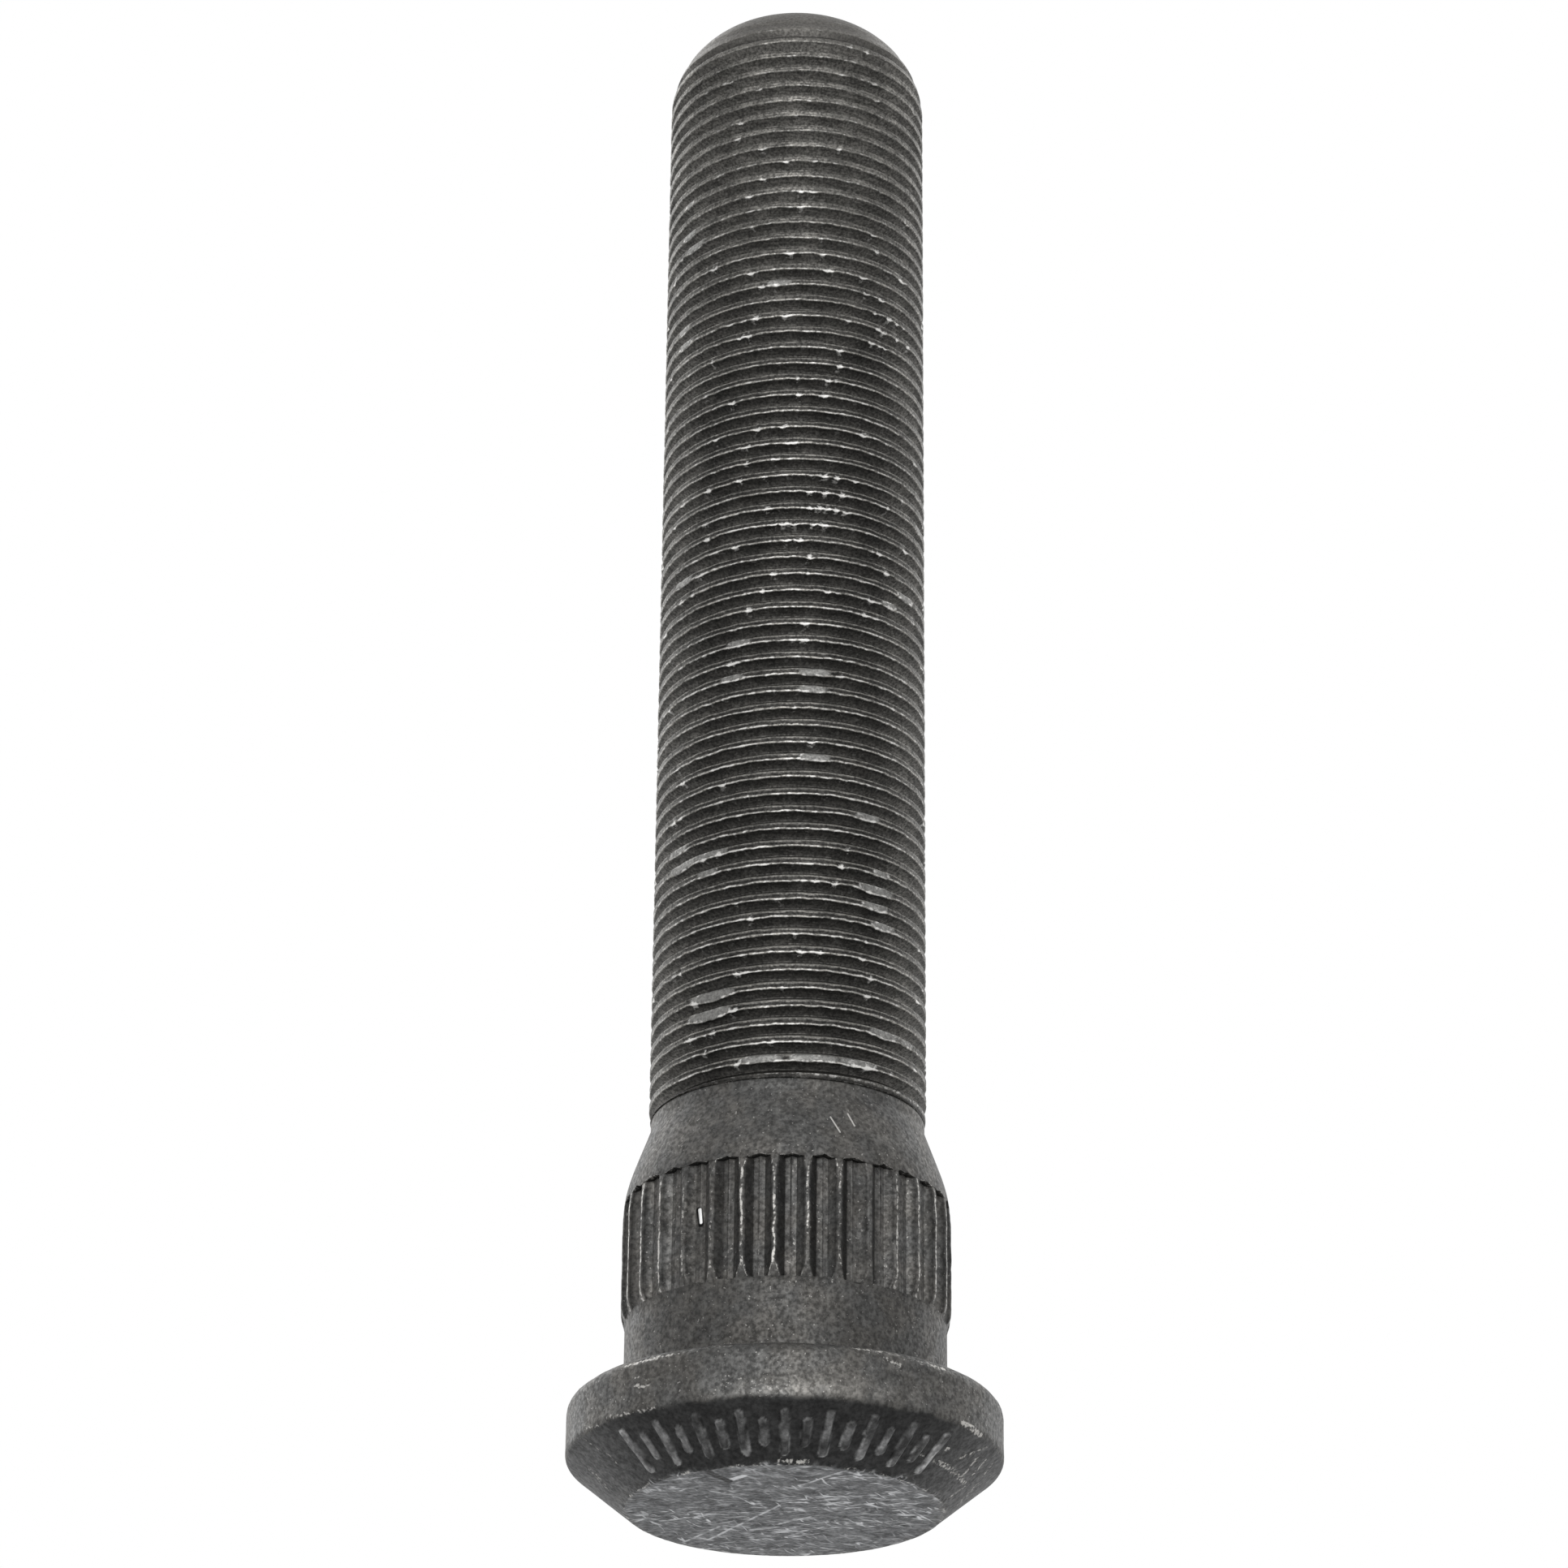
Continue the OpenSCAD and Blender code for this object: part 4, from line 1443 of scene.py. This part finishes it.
# %% Wear of the thread
to_side = ease(np.abs(helix_angle), 35, 70)
to_tip = ease(helix_z, 88, 122)
row_wear = per_row([0.0, 0.05, 0.8, 0.0, 0.0, 0.12, 0.0])
row_wear = row_wear * (1 - in_dent * (row_kind > 2)[:, None])
nick_wear = per_row([0.0, 0.35, 0.85, 0.6, 0.1, 0.0, 0.0])
dent_rim = 0.55 * (4 * in_dent * (1 - in_dent)) ** 2 * is_crest
blistered = in_dent * (helix_angle > 20) * (helix_angle < 90) * is_crest
dent_rim = dent_rim + blistered * (0.12 + 0.3 * around(helix_angle, helix_z, 160, 0.2, 67))
sparkling = 0.8 + 0.55 * around(helix_angle, helix_z, 240, 1.5, 61)
sparkling = sparkling + 0.3 * around(helix_angle, helix_z, 40, 3, 62)
# Half as much at the sides: the extra brightness of the crests in front is painted highlight
helix_wear_and_sheen = row_wear * sparkling * (1 - 0.5 * to_side) * (1 - 0.6 * to_tip)
helix_wear_and_sheen = helix_wear_and_sheen * (1 - 0.2 * band(helix_z, 85, 22))
helix_wear_and_sheen = helix_wear_and_sheen + nick_wear * in_nick * (1 - 0.4 * to_tip) + dent_rim
print("rubbed points of the thread:", int((helix_wear_and_sheen > 0.5).sum()))

# %% [markdown]
# Light and dark rows
#
# The rows get painted light and shade: a painted highlight on the crests, and in front a dark line of
# painted shade close under each crest. Lamps alone don't show that on a surface this rough, so each kind of
# row has a tone too. The tones change from the front to the sides, again towards the tip, and fade out on
# the nose.

# %% Painted light and shade of the thread
# Painted highlight on the crests, painted shade in the row under them, and lighter flanks at the sides
front_shading = per_row([0.85, 0.3, 4.8, 0.5, 0.35, 3.5, 0.85])
side_shading = per_row([2.0, 1.2, 3.6, 1.3, 1.2, 1.8, 1.9])
tip_tone = per_row([1.5, 1.2, 2.8, 2.1, 1.9, 1.8, 1.5])
tip_tone = tip_tone * (1 + 0.3 * is_crest * around(helix_angle, helix_z, 150, 1.5, 68))
trace_tone = per_row([0.72, 0.85, 1.3, 1.3, 1.2, 1.0, 0.72])
helix_shading = front_shading + (side_shading - front_shading) * to_side
helix_shading = helix_shading + (tip_tone - helix_shading) * to_tip
helix_shading = helix_shading + (trace_tone - helix_shading) * ease(helix_z, 125.2, 126.4)
helix_shading = helix_shading + (1 - helix_shading) * ease(helix_z, 127.45, 128.2)
print("tones of the thread from", round(float(helix_shading.min()), 2), "to", round(float(helix_shading.max()), 2))

# %% Wear, tone and painted shade of the foot of the thread
all_columns = np.ones(THREAD_COLUMNS)
worn_in = ease(share_of_turn, 0.75, 0.95)
toned_in = ease(share_of_turn, 0.7, 0.97)
wedge_low_wear = np.outer([0, 0.36, 0.28, 0.1, 0.05, 0, 0], 1 - worn_in)
wedge_low_wear += row_wear[:ROWS_PER_TURN, :1] * worn_in
# The first row of the foot's wedge is dark with painted shade where the thread meets the neck
wedge_low_tone = np.outer([0.35, 1.6, 1.3, 0.8, 0.6, 0.5, 0.5], 1 - toned_in)
wedge_low_tone += helix_shading[:ROWS_PER_TURN, :1] * toned_in
foot_wear = np.outer([0.32, 0.0], all_columns)
# The upper ring of the foot is dark with painted shade along the edge of the neck
foot_tone = np.outer([1.0, 0.4], all_columns)
# The last rings of the nose towards the flat tip are darker: painted shade along its edge
nose_shade = np.outer([1, 1, 1, 0.95, 0.7, 0.55], all_columns)
print("rows of the foot:", len(wedge_low_wear) + len(foot_wear))

# %% One number per point of the thread
TIP_TONE = 0.5
thread_angles = np.concatenate([part[0].ravel() for part in thread_parts])
thread_radii = np.concatenate([part[1].ravel() for part in thread_parts])
thread_heights = np.concatenate([part[2].ravel() for part in thread_parts])


def place_values(filler, blocks):
    """One number per point of the thread: the filler, except where a block of points has its own."""
    numbers = np.full(len(thread_radii), filler)
    for name, values in blocks.items():
        first = part_start[name]
        numbers[first : first + np.size(values)] = np.ravel(values)
    return numbers


thread_wear_and_sheen = place_values(0.0, {"helix": helix_wear_and_sheen, "low_wedge": wedge_low_wear, "foot": foot_wear})
thread_shading_and_tone = place_values(
    1.0, {"helix": helix_shading, "low_wedge": wedge_low_tone, "foot": foot_tone, "nose": nose_shade}
)
thread_dent = place_values(0.0, {"helix": in_dent * is_crest})
on_nose = ease(thread_heights, 124.5, 128.5)
# Painted shade on the left and right sides of the nose
thread_shading_and_tone = thread_shading_and_tone * (1 - 0.6 * on_nose * ease(np.abs(thread_angles), 55, 92))
thread_shading_and_tone = np.where(thread_radii < TIP_R - 0.2, TIP_TONE, thread_shading_and_tone)
print("points with their own wear and tone:", len(thread_shading_and_tone))

# %% [markdown]
# The rolled thread's finish
#
# Rolling presses the grooves in and leaves fine lines round the flanks, so one noise is stretched round
# the stud. The flanks keep their black skin, the nose is a plain grey without lines, and the floor of a
# dent is paler than the skin but duller than the rubbed crests.

# %% Material of the thread
FLANK_DARK = (0.042, 0.041, 0.038)
FLANK_LIGHT = (0.074, 0.071, 0.066)
NOSE_GREY = (0.122, 0.117, 0.109)
DENT_GREY = (0.175, 0.173, 0.166)
LIP_STEEL = (0.66, 0.65, 0.63)


def rolled_skin():
    recipe = Recipe("rolled_black_oxide")
    streak = recipe.noise((0.5, 0.5, 11.0), 3.0, 0.6)
    slow = recipe.noise((0.3, 0.3, 0.2), 3.0)
    grain = recipe.noise((4.5, 4.5, 4.5), 3.0, 0.65)
    flank = recipe.mix(recipe.window(streak, 0.35, 0.7), FLANK_DARK, FLANK_LIGHT)
    flank = recipe.scale_colour(flank, recipe.window(grain, 0.32, 0.68, 0.5, 1.6))
    flank = recipe.scale_colour(flank, recipe.window(slow, 0.35, 0.65, 0.85, 1.15))
    nose = recipe.scale_colour(NOSE_GREY, recipe.window(grain, 0.3, 0.7, 0.75, 1.3))
    colour = recipe.mix(recipe.carried("nose"), flank, nose)
    # Painted light and shade by place, as the mesh carries it
    colour = recipe.scale_colour(colour, recipe.carried("shading_and_tone"))
    filled = recipe.scale_colour(DENT_GREY, recipe.window(grain, 0.3, 0.7, 0.7, 1.3))
    colour = recipe.mix(recipe.carried("dent"), colour, filled)
    dotted = recipe.noise((2.4, 2.4, 3.5), 3.0, 0.6)
    # Bare steel on the rubbed crests, which carry a painted highlight in front
    rubbed = recipe.math("ADD", recipe.carried("wear_and_sheen"), recipe.window(dotted, 0.3, 0.7, -0.35, 0.3))
    rubbed = recipe.window(rubbed, 0.2, 1.0)
    colour = recipe.mix(rubbed, colour, LIP_STEEL)
    rough = recipe.window(grain, 0.3, 0.7, 0.55, 0.4)
    normal = recipe.bump(streak, 0.02, 0.6)
    normal = recipe.bump(grain, 0.02, 0.5, normal)
    return recipe.finish(colour, rough, normal)


thread_material = rolled_skin()
thread_piece = make_piece(
    "thread_and_nose",
    to_points(thread_angles, thread_radii, thread_heights),
    thread_faces,
    {"wear_and_sheen": thread_wear_and_sheen, "shading_and_tone": thread_shading_and_tone, "dent": thread_dent, "nose": on_nose},
    thread_material,
)
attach(thread_piece, "root")
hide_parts("wheel_stud")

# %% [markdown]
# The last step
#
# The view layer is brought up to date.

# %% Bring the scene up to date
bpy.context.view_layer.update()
